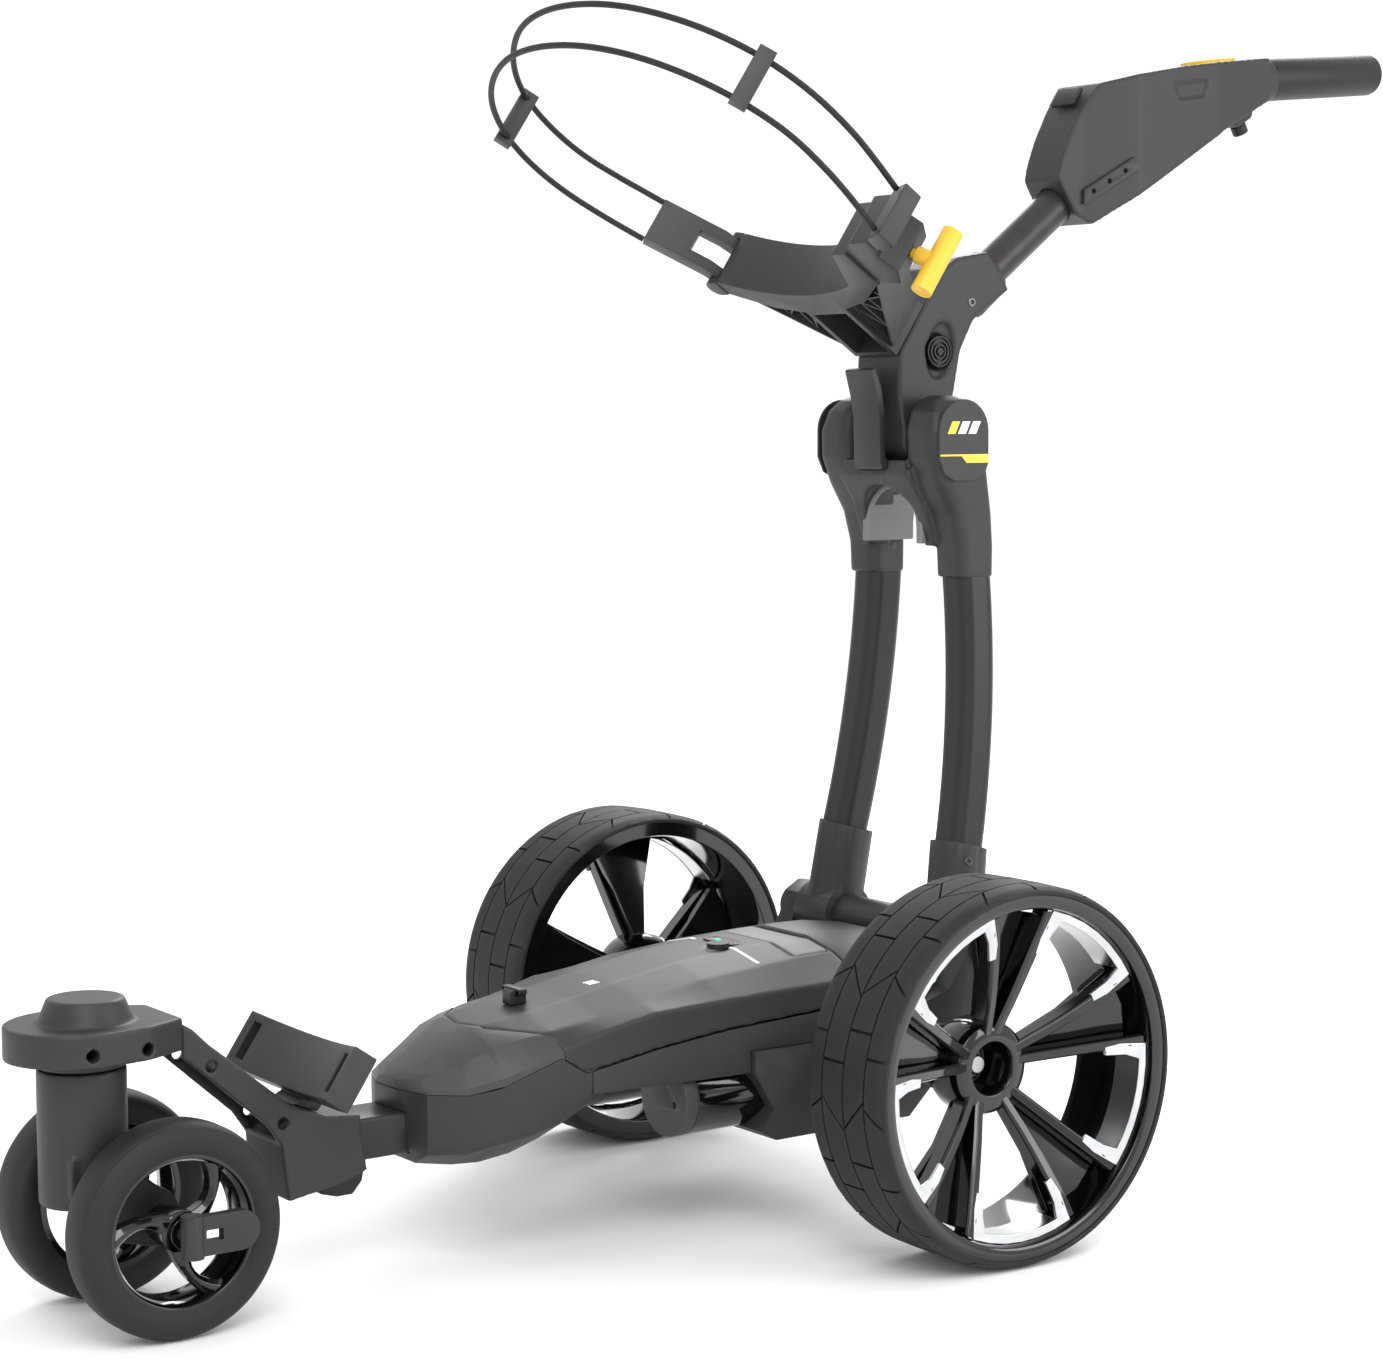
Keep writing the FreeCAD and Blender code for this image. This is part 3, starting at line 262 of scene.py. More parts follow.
def on_hoop(x, v, down=0.0):
    """Millimetres in the hoop's frame to a point of the trolley, in metres."""
    return Vector((x, AXLE_Y * 1000 + HOOP_Y + v * math.cos(HOOP_TURN) - down * math.sin(HOOP_TURN),
                   HOOP_Z + v * math.sin(HOOP_TURN) + down * math.cos(HOOP_TURN))) / 1000


def mm(x, y, z):
    """Millimetres, counted from under the drive axle, to a point of the trolley in metres."""
    return Vector((x / 1000, y / 1000 + AXLE_Y, z / 1000))


def braided():
    """A woven cover: fine crossing diagonals along the cord."""
    material = finish("braided_cord", (0.005, 0.005, 0.0055), (0.009, 0.009, 0.0095), 0.55, grain=1800.0)
    tree = material.node_tree
    wave = tree.nodes.new("ShaderNodeTexWave")
    wave.bands_direction = "DIAGONAL"
    wave.inputs["Scale"].default_value = 260.0
    place = tree.nodes.new("ShaderNodeTexCoord")
    tree.links.new(place.outputs["Object"], wave.inputs["Vector"])
    bump = [n for n in tree.nodes if n.type == "BUMP"][0]
    bump.inputs["Distance"].default_value = 0.0002
    tree.links.new(wave.outputs["Fac"], bump.inputs["Height"])
    return material


CORD = braided()
print("hoop centre", tuple(on_hoop(0, 0)))

# %% The two cords
CORD_UP = [(-144.5, -80.1), (-153, -65), (-166, -43), (-181, -11), (-182, 26), (-172, 62), (-150, 93),
           (-119, 119), (-80, 141), (-36, 153), (10, 155), (57, 147), (98, 129), (133, 102),
           (158, 68), (170, 28), (170, -14), (162, -54), (151, -90)]
CORD_LOW = [(-144.5, -80.1), (-152, -67), (-164, -44), (-177, -12), (-180, 24), (-171, 60), (-151, 91),
            (-122, 117), (-84, 138), (-42, 151), (4, 154), (50, 147), (93, 129), (129, 101),
            (155, 67), (170, 28), (169, -14), (162, -54), (151, -90)]
for label, route, down, length in (("upper", CORD_UP, -18.7, 0.706), ("lower", CORD_LOW, 18.7, 0.6985)):
    data = bpy.data.curves.new("elastic_cord_" + label, "CURVE")
    data.dimensions = "3D"
    data.bevel_depth = 0.0025
    data.bevel_resolution = 4
    spline = data.splines.new("NURBS")
    spline.points.add(len(route) - 1)
    for point, (x, v) in zip(spline.points, route):
        point.co = (*on_hoop(x, v, down), 1)
    spline.order_u = 3
    spline.use_endpoint_u = True
    spline.resolution_u = 12
    elastic = bpy.data.objects.new("elastic_cord_" + label, data)
    bpy.context.scene.collection.objects.link(elastic)
    data.materials.append(CORD)
    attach(elastic, "hoop")
    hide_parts("hoop_cord_" + label)
    print(elastic.name, "points", len(route))

# %% [markdown]
# ## Helpers for pieces
# A piece is a mesh whose object sits at the origin, rides on one body of the frame and stands for the
# structural parts it covers. A few helpers build most of them: one dresses a structural part with soft
# edges, one blends several closed forms into one skin, one lays rings of points into a skin, and one
# gives an outline a thickness.

# %% Showing a piece
def show(name, mesh, body, slot, material, *stands_for):
    """Makes a piece of a mesh, in place, and hides what it stands for."""
    mesh.name = name
    made = bpy.data.objects.new(name, mesh)
    bpy.context.scene.collection.objects.link(made)
    for finish_of in material if isinstance(material, (list, tuple)) else [material]:
        mesh.materials.append(finish_of)
    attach(made, body)
    if stands_for:
        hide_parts(*stands_for)
    return made


def soften(made, width, segments=3, angle=30):
    """Rounds the sharp edges of a piece, as a mould does, and keeps its flats flat."""
    made.data.shade_smooth()
    bevel = made.modifiers.new("soft_edges", "BEVEL")
    bevel.width = width / 1000
    bevel.segments = segments
    bevel.limit_method = "ANGLE"
    bevel.angle_limit = math.radians(angle)
    bevel.harden_normals = True
    return made


def dressed(node, body, slot, material, width=1.2, segments=3, angle=30):
    """A copy of a structural part's mesh, merged and cleaned, with soft edges."""
    work = bmesh.new()
    work.from_mesh(nodes[node].data)
    bmesh.ops.remove_doubles(work, verts=work.verts, dist=0.00002)
    bmesh.ops.dissolve_limit(work, angle_limit=math.radians(2), verts=work.verts, edges=work.edges)
    mesh = bpy.data.meshes.new(node + "_skin")
    work.to_mesh(mesh)
    work.free()
    return soften(show(node + "_skin", mesh, body, slot, material, node), width, segments, angle)


def moulded(name, parts, body, slot, material, *stands_for, cuts=(), voxel=1.5, rounds=8):
    """One skin over several closed forms, less the cuts, blended as a mould blends its corners."""
    base = bpy.data.objects.new(name + "_base", gathered(parts))
    bpy.context.scene.collection.objects.link(base)
    helpers = [base]
    for cut in cuts:
        tool = bpy.data.objects.new(name + "_cut", cut)
        bpy.context.scene.collection.objects.link(tool)
        helpers.append(tool)
        less = base.modifiers.new("less", "BOOLEAN")
        less.object, less.operation, less.solver = tool, "DIFFERENCE", "EXACT"
        less.use_self = True
    blend = base.modifiers.new("one_skin", "REMESH")
    blend.mode, blend.voxel_size, blend.use_smooth_shade = "VOXEL", voxel / 1000, True
    soft = base.modifiers.new("soft_corners", "SMOOTH")
    soft.factor, soft.iterations = 0.5, rounds
    mesh = bpy.data.meshes.new_from_object(base.evaluated_get(bpy.context.evaluated_depsgraph_get()))
    for helper in helpers:
        bpy.data.objects.remove(helper)
    mesh.materials.clear()
    made = show(name, mesh, body, slot, material, *stands_for)
    made.data.shade_smooth()
    return made


def structure(node):
    """A merged copy of a structural part's mesh."""
    work = bmesh.new()
    work.from_mesh(nodes[node].data)
    bmesh.ops.remove_doubles(work, verts=work.verts, dist=0.00002)
    mesh = bpy.data.meshes.new(node + "_copy")
    work.to_mesh(mesh)
    work.free()
    return mesh


def skin(rings, cap=True):
    """A mesh through rings with equally many points; the faces are turned outwards."""
    work = bmesh.new()
    made = [[work.verts.new(p) for p in ring] for ring in rings]
    for a, b in zip(made, made[1:]):
        count = len(a)
        for i in range(count):
            j = (i + 1) % count
            work.faces.new((a[i], a[j], b[j], b[i]))
    if cap:
        work.faces.new(list(reversed(made[0])))
        work.faces.new(made[-1])
    bmesh.ops.remove_doubles(work, verts=work.verts, dist=0.000001)
    bmesh.ops.recalc_face_normals(work, faces=work.faces)
    mesh = bpy.data.meshes.new("skin")
    work.to_mesh(mesh)
    work.free()
    return mesh


def prism(outline, low, high, place):
    """A flat outline given a thickness; place(u, v, w) puts a point of it on the trolley."""
    return skin([[place(u, v, w) for u, v in outline] for w in (low, high)])


def gathered(meshes):
    """One mesh from several."""
    work = bmesh.new()
    for mesh in meshes:
        work.from_mesh(mesh)
        bpy.data.meshes.remove(mesh)
    whole = bpy.data.meshes.new("gathered")
    work.to_mesh(whole)
    work.free()
    return whole


def arc(cx, cy, radius, start, end, steps):
    """Points of an arc, with the angles in degrees."""
    return [(cx + radius * math.cos(math.radians(start + (end - start) * i / steps)),
             cy + radius * math.sin(math.radians(start + (end - start) * i / steps)))
            for i in range(steps + 1)]


# %% [markdown]
# ## Drive tyres
# Each tyre is a solid band with a tread of long blocks, parted by three grooves that run round it and by
# cross cuts that are straight and slanted by turns. The cuts are real gaps, because they show on the
# silhouette. The pattern repeats nine times round the wheel, so one ninth is made as eight blocks, and
# Geometry Nodes copy and turn it round the wheel.

# %% A ring of copies, as a Geometry Nodes tree
def ring_of_copies(name, material):
    """A tree that turns copies of its geometry about the X axis, then realizes them."""
    tree = bpy.data.node_groups.new(name, "GeometryNodeTree")
    tree.interface.new_socket("Geometry", in_out="INPUT", socket_type="NodeSocketGeometry")
    count = tree.interface.new_socket("Copies", in_out="INPUT", socket_type="NodeSocketInt")
    count.default_value = 9
    tree.interface.new_socket("Geometry", in_out="OUTPUT", socket_type="NodeSocketGeometry")
    start, end = tree.nodes.new("NodeGroupInput"), tree.nodes.new("NodeGroupOutput")
    line = tree.nodes.new("GeometryNodeMeshLine")
    line.inputs["Offset"].default_value = (0, 0, 0)
    tree.links.new(start.outputs["Copies"], line.inputs["Count"])
    copies = tree.nodes.new("GeometryNodeInstanceOnPoints")
    tree.links.new(line.outputs["Mesh"], copies.inputs["Points"])
    tree.links.new(start.outputs["Geometry"], copies.inputs["Instance"])
    index = tree.nodes.new("GeometryNodeInputIndex")
    step = tree.nodes.new("ShaderNodeMath")
    step.operation = "DIVIDE"
    step.inputs[0].default_value = math.tau
    tree.links.new(start.outputs["Copies"], step.inputs[1])
    angle = tree.nodes.new("ShaderNodeMath")
    angle.operation = "MULTIPLY"
    tree.links.new(index.outputs["Index"], angle.inputs[0])
    tree.links.new(step.outputs[0], angle.inputs[1])
    turn = tree.nodes.new("ShaderNodeCombineXYZ")
    tree.links.new(angle.outputs[0], turn.inputs["X"])
    tree.links.new(turn.outputs["Vector"], copies.inputs["Rotation"])
    real = tree.nodes.new("GeometryNodeRealizeInstances")
    paint = tree.nodes.new("GeometryNodeSetMaterial")
    paint.inputs["Material"].default_value = material
    tree.links.new(copies.outputs["Instances"], real.inputs["Geometry"])
    tree.links.new(real.outputs["Geometry"], paint.inputs["Geometry"])
    tree.links.new(paint.outputs["Geometry"], end.inputs["Geometry"])
    return tree


def turned_round(mesh, tree, copies):
    """The plain mesh that the tree makes of one sector, about the X axis through the origin."""
    seed = bpy.data.objects.new("sector", mesh)
    bpy.context.scene.collection.objects.link(seed)
    modifier = seed.modifiers.new("ring", "NODES")
    modifier.node_group = tree
    for item in tree.interface.items_tree:
        if item.item_type == "SOCKET" and item.name == "Copies":
            modifier[item.identifier] = copies
    view = bpy.context.evaluated_depsgraph_get()
    whole = bpy.data.meshes.new_from_object(seed.evaluated_get(view))
    bpy.data.objects.remove(seed)
    whole.materials.clear()
    return whole


TREAD_RING = ring_of_copies("tread_ring", TREAD_RUBBER)
print("tree:", TREAD_RING.name)

# %% The tread of one ninth of a tyre
WHEEL_R, TYRE_OUT, TYRE_IN = 145.0, 289.3, 200.7
BLOCK, TREAD_REPEATS = 20.0, 9


def crown(x):
    """Height of the tread over the axle at a distance from the trolley's middle: round shoulders."""
    edge = min(x - TYRE_IN, TYRE_OUT - x)
    return WHEEL_R - (3.5 * (1 - min(edge, 9) / 9) ** 2 + 0.8 * (1 - min(edge, 30) / 30))


def tread_block(rows, side, foot=141.2):
    """A block over a strip of (x, first angle, last angle) rows, from the groove's floor to the crown."""
    rings = []
    for x, first, last in rows:
        high = crown(x)
        span = [first + (last - first) * i / 4 for i in range(5)]
        loop = [(a, foot) for a in (first, last)] + [(a, high) for a in reversed(span)]
        turned = [(math.radians(a), r) for a, r in loop]
        rings.append([Vector((side * x, r * math.sin(a), r * math.cos(a))) / 1000 for a, r in turned])
    return skin(rings)


def strip(x0, x1, start, slants, gap=0.85, pieces=5):
    """Rows of one block; slants are how far its two cross cuts lean from the first side to the last."""
    return [(x0 + (x1 - x0) * i / pieces, start + slants[0] * i / pieces + gap / 2,
             start + BLOCK + slants[1] * i / pieces - gap / 2) for i in range(pieces + 1)]


def tread_sector(side):
    """Shoulder, two wide ribs and shoulder; in each, straight and slanted cuts take turns."""
    plan = [(TYRE_OUT - 0.6, 270.4, 2.0, 5.0), (268.8, 246.0, 9.0, -9.0), (244.4, 221.4, -1.0, 9.0),
            (219.8, TYRE_IN + 0.6, 7.0, -5.0)]
    return gathered([tread_block(strip(x0, x1, start + BLOCK * turn, slants), side)
                     for x0, x1, start, slant in plan
                     for turn, slants in enumerate(((0.0, slant), (slant, 0.0)))])


def carcass(side):
    """The band under the tread: side walls with a fine lip, closed round the rim's seat."""
    profile = [(TYRE_OUT - 5, 137.2), (TYRE_OUT - 0.9, 137.6), (TYRE_OUT, 138.6), (TYRE_OUT, 140.6),
               (TYRE_OUT - 1.4, 141.5), (TYRE_IN + 1.4, 141.5), (TYRE_IN, 140.6), (TYRE_IN, 138.6),
               (TYRE_IN + 0.9, 137.6), (TYRE_IN + 5, 137.2), (TYRE_IN + 6, 132), (TYRE_OUT - 6, 132)]
    return lathe(profile, side, 144)


def lathe(profile, side, steps):
    """A profile of (x, radius) turned about the X axis."""
    turns = [math.tau * i / steps for i in range(steps)]
    rings = [[Vector((side * x, r * math.sin(turn), r * math.cos(turn))) / 1000 for x, r in profile]
             for turn in turns]
    return skin(rings + [rings[0]], cap=False)


def at_axle(mesh, y=0.0, z=WHEEL_R):
    """Moves a mesh made round the origin to an axis across the trolley."""
    mesh.transform(Matrix.Translation(mm(0, y, z)))
    return mesh


for name, side in SIDES:
    treads = turned_round(tread_sector(side), TREAD_RING, TREAD_REPEATS)
    tyre = show(name + "_tyre_tread", at_axle(gathered([treads, carcass(side)])), name + "_wheel", "tyre",
                TREAD_RUBBER, name + "_tyre")
    soften(tyre, 0.35, 2, 35)
    print(tyre.name, "faces", len(tyre.data.polygons))

# %% [markdown]
# ## Drive rims
# The rims are gloss black with five double spokes that fan out and step inwards from the hub. Between
# the spokes sit wide windows. Each window has a bright silver insert round its outer end, a U with a
# polished lining behind it. One fifth is made as closed forms, and a tree like the tread's turns it
# into a whole rim.

# %% One fifth of a rim
RIM_REPEATS, WINDOW = 5, 36


def polar(radius, degrees):
    """A point of the wheel's face; 0 degrees is straight up, growing towards the front."""
    return (-radius * math.sin(math.radians(degrees)), radius * math.cos(math.radians(degrees)))


def face_place(side, depth):
    """Puts a face point (y, z) at depth(radius) plus w millimetres from the outer face."""
    return lambda u, v, w: Vector((side * (depth(math.hypot(u, v)) + w), u, v)) / 1000


def dish(radius):
    """Distance of the spokes' outer face from the trolley's middle: deep at the hub, proud at the rim."""
    t = max(0.0, min(1.0, (radius - 30) / 92))
    return 246 + 34 * t ** 0.8


def spoke(side, root, tip, width_root, width_tip, thick=15):
    """One blade of a double spoke: rings along its length, each a slab with a chamfered face."""
    rings = []
    for i in range(9):
        t = i / 8
        radius = 26 + (125 - 26) * t
        centre = root + (tip - root) * t
        half = (width_root + (width_tip - width_root) * t) / 2
        front = dish(radius)
        ring = []
        for offset, depth in ((-half, -thick), (-half, -2.5), (-half + 1.8, 0), (half - 1.8, 0),
                              (half, -2.5), (half, -thick)):
            angle = math.radians(centre)
            y = -radius * math.sin(angle) - offset * math.cos(angle)
            z = radius * math.cos(angle) - offset * math.sin(angle)
            ring.append(Vector((side * (front + depth), y, z)) / 1000)
        rings.append(ring)
    return skin(rings)


def spoke_web(side):
    """The recessed floor between the two blades of a double spoke."""
    outline = [polar(30, -9), polar(30, 9), polar(76, 12), polar(122, 15.5), polar(124, 0),
               polar(122, -15.5), polar(76, -12)]
    return prism(outline, -22, -15, face_place(side, lambda r: dish(30 + (r - 30) * 0.85)))


def rim_sector(side):
    """The two blades of a double spoke and the web between them."""
    blades = [spoke(side, 10 * s, 12.6 * s, 9, 10.5) for s in (-1, 1)]
    return gathered(blades + [spoke_web(side)])


def insert_sector(side):
    """The bright U: a band inside the rim and a leg along each neighbouring spoke."""
    outer = [polar(126.0, WINDOW + a) for a in (-22.5, -15, -7.5, 0, 7.5, 15, 22.5)]
    inner = [polar(119.4, WINDOW + a) for a in (17.2, 12, 6, 0, -6, -12, -17.5)]
    legs_out = [polar(104, WINDOW + 24.2), polar(92, WINDOW + 23.6), polar(92.5, WINDOW + 19.6),
                polar(108, WINDOW + 19.2)]
    legs_in = [polar(108, WINDOW - 19.2), polar(92.5, WINDOW - 19.6), polar(92, WINDOW - 23.6),
               polar(104, WINDOW - 24.2)]
    face = prism(outer + legs_out + inner + legs_in, -2.0, 0.9, face_place(side, lambda r: dish(r) - 0.2))
    lining_out = [polar(121.2, WINDOW + a) for a in (-17.5, -12, -6, 0, 6, 12, 17.5)]
    lining_in = [polar(119.9, WINDOW + a) for a in (17.5, 12, 6, 0, -6, -12, -17.5)]
    lining = prism(lining_out + lining_in, -26, -1.9, face_place(side, lambda r: dish(120)))
    return gathered([face, lining])


# %% The rims
RIM_RING = ring_of_copies("rim_ring", PIANO_BLACK)
for name, side in SIDES:
    body = name + "_wheel"
    barrel = lathe([(202.7, 126), (202.7, 138), (206.7, 138), (206.7, 132), (283.3, 132), (283.3, 138),
                    (287.6, 138), (287.9, 133), (286, 128), (281, 126.2), (276, 126), (262, 123.5),
                    (243, 123), (207, 125)], side, 120)
    hub = lathe([(192, 9), (192, 24), (206, 32), (216, 37), (238, 37), (244, 34), (246, 30), (246, 21),
                 (243, 19), (236, 18), (216, 17), (216, 9)], side, 60)
    spokes = turned_round(rim_sector(side), RIM_RING, RIM_REPEATS)
    rim = show(name + "_rim_spokes", at_axle(gathered([barrel, hub, spokes])), body, "gloss_black",
               PIANO_BLACK, name + "_rim")
    soften(rim, 0.7, 2, 28)
    bright = show(name + "_rim_inserts", at_axle(turned_round(insert_sector(side), RIM_RING, RIM_REPEATS)),
                  body, "steel", SILVER)
    soften(bright, 0.5, 2, 30)
    tip = lathe([(212, 0.01), (212, 12), (220, 12), (221, 11), (221, 8), (227, 8), (229, 6.2), (229, 0.01)],
                side, 32)
    shaft = lathe([(66, 0.01), (66, 7.9), (212.5, 7.9), (212.5, 0.01)], side, 32)
    axle = show(name + "_axle_tip", at_axle(gathered([tip, shaft])), body, "steel", STEEL, name + "_axle")
    soften(axle, 0.4, 2, 40)
    print(rim.name, len(rim.data.polygons), bright.name, len(bright.data.polygons))

# %% [markdown]
# ## Castor wheels
# The two small wheels are smooth rubber on gloss-black rims with three spokes that curve back as they
# run out. The tyre is a turned profile with a small step at its outer shoulder; the spokes are short
# skins between hub and rim, copied three times by the rim's tree.

# %% Castor wheels
CASTOR_Y, CASTOR_Z, CASTOR_SPOKES = -590.0, 77.0, 3


def castor_spoke(side):
    """One curved spoke with a rib on its outer face."""
    rings = []
    for i in range(10):
        t = i / 9
        radius = 13 + 41 * t
        angle = math.radians(180 + 34 * t ** 1.3)
        half = 7.5 - 3.4 * math.sin(math.pi * min(1, t * 1.1)) + 4.5 * max(0, t - 0.75)
        cy, cz = -radius * math.sin(angle), radius * math.cos(angle)
        ring = []
        for offset, x in ((-half, 62), (-half, 71), (-half * 0.3, 74.5), (half * 0.3, 74.5), (half, 71),
                          (half, 62)):
            y, z = cy - offset * math.cos(angle), cz - offset * math.sin(angle)
            ring.append(Vector((side * x, y, z)) / 1000)
        rings.append(ring)
    return skin(rings)


for name, side in SIDES:
    body = name + "_castor"
    low, high = 40.0, 80.0
    shoulder = [(low + 2, 58), (low + 0.6, 60), (low, 64), (low + 0.3, 67.5), (low + 1.2, 70.5),
                (low + 3, 73), (low + 6, 75.2), (low + 10, 76.5), (low + 15, 77), (high - 15, 77),
                (high - 10, 76.5), (high - 6, 75.2), (high - 5.4, 74.6), (high - 4.6, 74.6),
                (high - 3, 73), (high - 1.2, 70.5), (high - 0.3, 67.5), (high, 64), (high - 0.6, 60),
                (high - 2, 57), (high - 3, 54.5), (low + 3, 54.5)]
    tyre = show(name + "_castor_band", at_axle(lathe(shoulder, side, 96), CASTOR_Y, CASTOR_Z), body,
                "castor_tyre", CASTOR_RUBBER, name + "_castor_tyre")
    soften(tyre, 0.3, 1, 40)
    barrel = lathe([(42, 50), (42, 55), (77, 55), (77, 52.5), (74, 50.5), (60, 49.5), (48, 49)], side, 96)
    hub = lathe([(42, 6.1), (42, 14), (60, 15), (72, 15), (75, 12), (78, 11), (78, 6.1)], side, 48)
    spokes = turned_round(castor_spoke(side), RIM_RING, CASTOR_SPOKES)
    rim = show(name + "_castor_spokes", at_axle(gathered([barrel, hub, spokes]), CASTOR_Y, CASTOR_Z), body,
               "gloss_black", PIANO_BLACK, name + "_castor_rim")
    soften(rim, 0.6, 2, 30)
    dressed(name + "_castor_lever", name + "_castor_release", "charcoal", CHARCOAL, 1.6)
    print(rim.name, len(rim.data.polygons))

# %% [markdown]
# ## Castings with blended corners
# The yoke and its liner, the head, the steering cap, the arm, the handle housing, the castor column and
# the battery case have large round corners that a bevel can't give. So their forms are only put
# together as closed solids, holes are cut out of them, and a voxel remesh with a little smoothing makes
# one skin.

# %% Forms for castings
def squircle(cx, cy, z, half_x, half_y, power=4.0, steps=32):
    """A round-cornered level section as a ring of points."""
    ring = []
    for i in range(steps):
        angle = math.tau * i / steps
        c, d = math.cos(angle), math.sin(angle)
        ring.append(mm(cx + half_x * math.copysign(abs(c) ** (2 / power), c),
                       cy + half_y * math.copysign(abs(d) ** (2 / power), d), z))
    return ring


def drill(x0, x1, y, z, radius, tall=1.0, lean=0.0, steps=24):
    """A bore across the trolley, or an upright slot where tall is more than 1."""
    turn = Matrix.Rotation(math.radians(lean), 3, "X")
    centre = mm(0, y, z)
    return skin([[centre + turn @ Vector((x / 1000, radius * math.cos(math.tau * i / steps) / 1000,
                                          radius * tall * math.sin(math.tau * i / steps) / 1000))
                  for i in range(steps)] for x in (x0, x1)])


def across(outline, x0, x1):
    """A side-view outline of (y, z) given a thickness across the trolley."""
    return prism(outline, x0, x1, lambda u, v, w: mm(w, u, v))


def rod_between(start, end, r0, r1, steps=28):
    """A round form between two points, thinner or thicker at its end."""
    start, end = mm(*start), mm(*end)
    turn = (end - start).to_track_quat("Z", "Y")
    angles = [math.tau * i / steps for i in range(steps)]
    return skin([[at + turn @ Vector((r * math.cos(a), r * math.sin(a), 0)) for a in angles]
                 for at, r in ((start, r0 / 1000), (end, r1 / 1000))])


print("bore for the cap:", len(drill(20, 60, 0, 0, 4).vertices), "points")

# %% The yoke
LEG = ((504.5, 57, 132, 18.4, 18.8), (530, 57, 131.5, 18.8, 19.4), (556, 57, 127, 19.4, 22),
       (580, 57, 118, 21, 27), (602, 57, 112, 22, 29.6), (624, 56.5, 111.5, 21.6, 30.2),
       (640, 54.5, 111.5, 18.6, 25.5), (649, 52, 111.5, 14, 17.5), (653, 50, 111.5, 8, 8.5))
legs = [skin([squircle(side * x, y, z, half_x, half_y) for z, x, y, half_x, half_y in LEG])
        for side in (1, -1)]
vault = [(-x, z) for x, z in arc(0, 546, 34, 0, 180, 14)][1:-1]
arch = [(-46, 593.5), (-46, 530), (-34, 530), (-34, 546), *vault, (34, 546), (34, 530), (46, 530),
        (46, 593.5)]
bridge = prism(arch, 81, 128, lambda u, v, w: mm(u, w, v))
back_room = prism([(-28.9, 553), (28.9, 553), (28.9, 620), (-28.9, 620)], 106, 190,
                  lambda u, v, w: mm(u, w, v))
lips = [prism([(s * 18.5, 586), (s * 40, 586), (s * 40, 600.5), (s * 18.5, 600.5)], 80.5, 94.5,
              lambda u, v, w: mm(u, w, v)) for s in (1, -1)]
front_slope = across([(60, 590), (79, 590), (96, 565), (108, 528), (60, 528)], -60, 60)
yoke = moulded("yoke_casting", legs + [bridge] + lips, "stem", "charcoal", CHARCOAL, "yoke",
               cuts=[back_room, front_slope], voxel=1.3, rounds=9)
print(yoke.name, len(yoke.data.polygons))

# %% The liner under the arch, and the plates on the yoke's sides
liner_out = [(-38.6, 532)] + [(-x, z) for x, z in arc(0, 546, 38.6, 0, 180, 20)] + [(38.6, 532)]
liner_in = [(31.2, 532)] + [(x, z) for x, z in arc(0, 545.4, 31.2, 0, 180, 20)] + [(-31.2, 532)]
head_path = prism([(-30, 552), (30, 552), (30, 620), (-30, 620)], 105, 190, lambda u, v, w: mm(u, w, v))
moulded("yoke_liner", [prism(liner_out + liner_in, 101, 151, lambda u, v, w: mm(u, w, v))], "stem",
        "mid_grey", PAD_GREY, "yoke_pad", cuts=[head_path], voxel=1.0, rounds=3)
PLATE = [(85, 602), (85, 624)] + arc(111, 624, 26, 180, 0, 16)[1:] + [(137, 598), (133, 589), (122, 584),
                                                                     (101, 584), (91, 589)]
plates, lines, pale = [], [], []
for side in (1, -1):
    plates.append(across(PLATE, side * 78.2, side * 80.4))
    lines.append(across([(85.6, 604), (108, 604), (113, 598.5), (136.6, 598.5), (136.6, 605.4),
                         (85.6, 605.4)], side * 80.2, side * 80.8))
    lines.append(across([(93, 622), (101, 622), (106, 632), (98, 632)], side * 80.2, side * 80.7))
    pale.append(across([(104, 622), (112, 622), (117, 632), (109, 632)], side * 80.2, side * 80.7))
    pale.append(across([(115, 622), (123, 622), (128, 632), (120, 632)], side * 80.2, side * 80.7))
soften(show("yoke_side_plates", gathered(plates), "stem", "black_trim", CHARCOAL, "yoke_caps"), 0.8, 3, 35)
show("yoke_yellow_lines", gathered(lines), "stem", "yellow", YELLOW)
show("yoke_pale_bars", gathered(pale), "stem", "mid_grey", WHITE_MARK)
print("side plates:", len(plates))

# %% Head, steering cap, arm and handle housing
BUTTON_AT = (129, 689)
head = moulded("head_casting_skin", [structure("head_casting"),
                                     rod_between((0, 176, 736), (0, 202, 755.8), 23.6, 22.8)],
               "upper", "charcoal", CHARCOAL, "head_casting",
               cuts=[drill(18.5, 40, *BUTTON_AT, 14.6), drill(23.5, 40, 130, 690, 13.6, 1.75, -12),
                     drill(-40, -23.5, 130, 690, 13.6, 1.75, -12),
                     rod_between((0, 190, 746.7), (0, 215, 765.7), 16.3, 16.3)],
               rounds=14)
rings = []
for inner, outer, high in ((0.01, 3.2, 29.0), (4.6, 6.4, 28.6), (8.0, 10.0, 28.4), (11.4, 12.9, 28.0)):
    ring = lathe([(23, inner), (high, inner), (high, outer), (23, outer)], 1, 40)
    rings.append(at_axle(ring, *BUTTON_AT))
rings.append(at_axle(lathe([(22.6, 0.01), (26.4, 0.01), (26.4, 12.9), (22.6, 12.9)], 1, 40), *BUTTON_AT))
soften(show("head_button_rings", gathered(rings), "fold_button", "black_trim", BLACK_TRIM, "head_button"),
       0.4, 2, 40)
holes = [drill(s * 20, s * 62, y, z, 4.6) for s in (1, -1) for y, z in ((-642.5, 203), (-599.7, 201.7))]
cap = moulded("steering_cap_skin", [structure("steering_cap")], "chassis", "charcoal", CHARCOAL,
              "steering_cap", cuts=holes, voxel=1.4, rounds=5)
holes = [drill(s * 16, s * 40, y, z, 4.4) for s in (1, -1) for y, z in ((-543.9, 179.5), (-487.5, 130.2))]
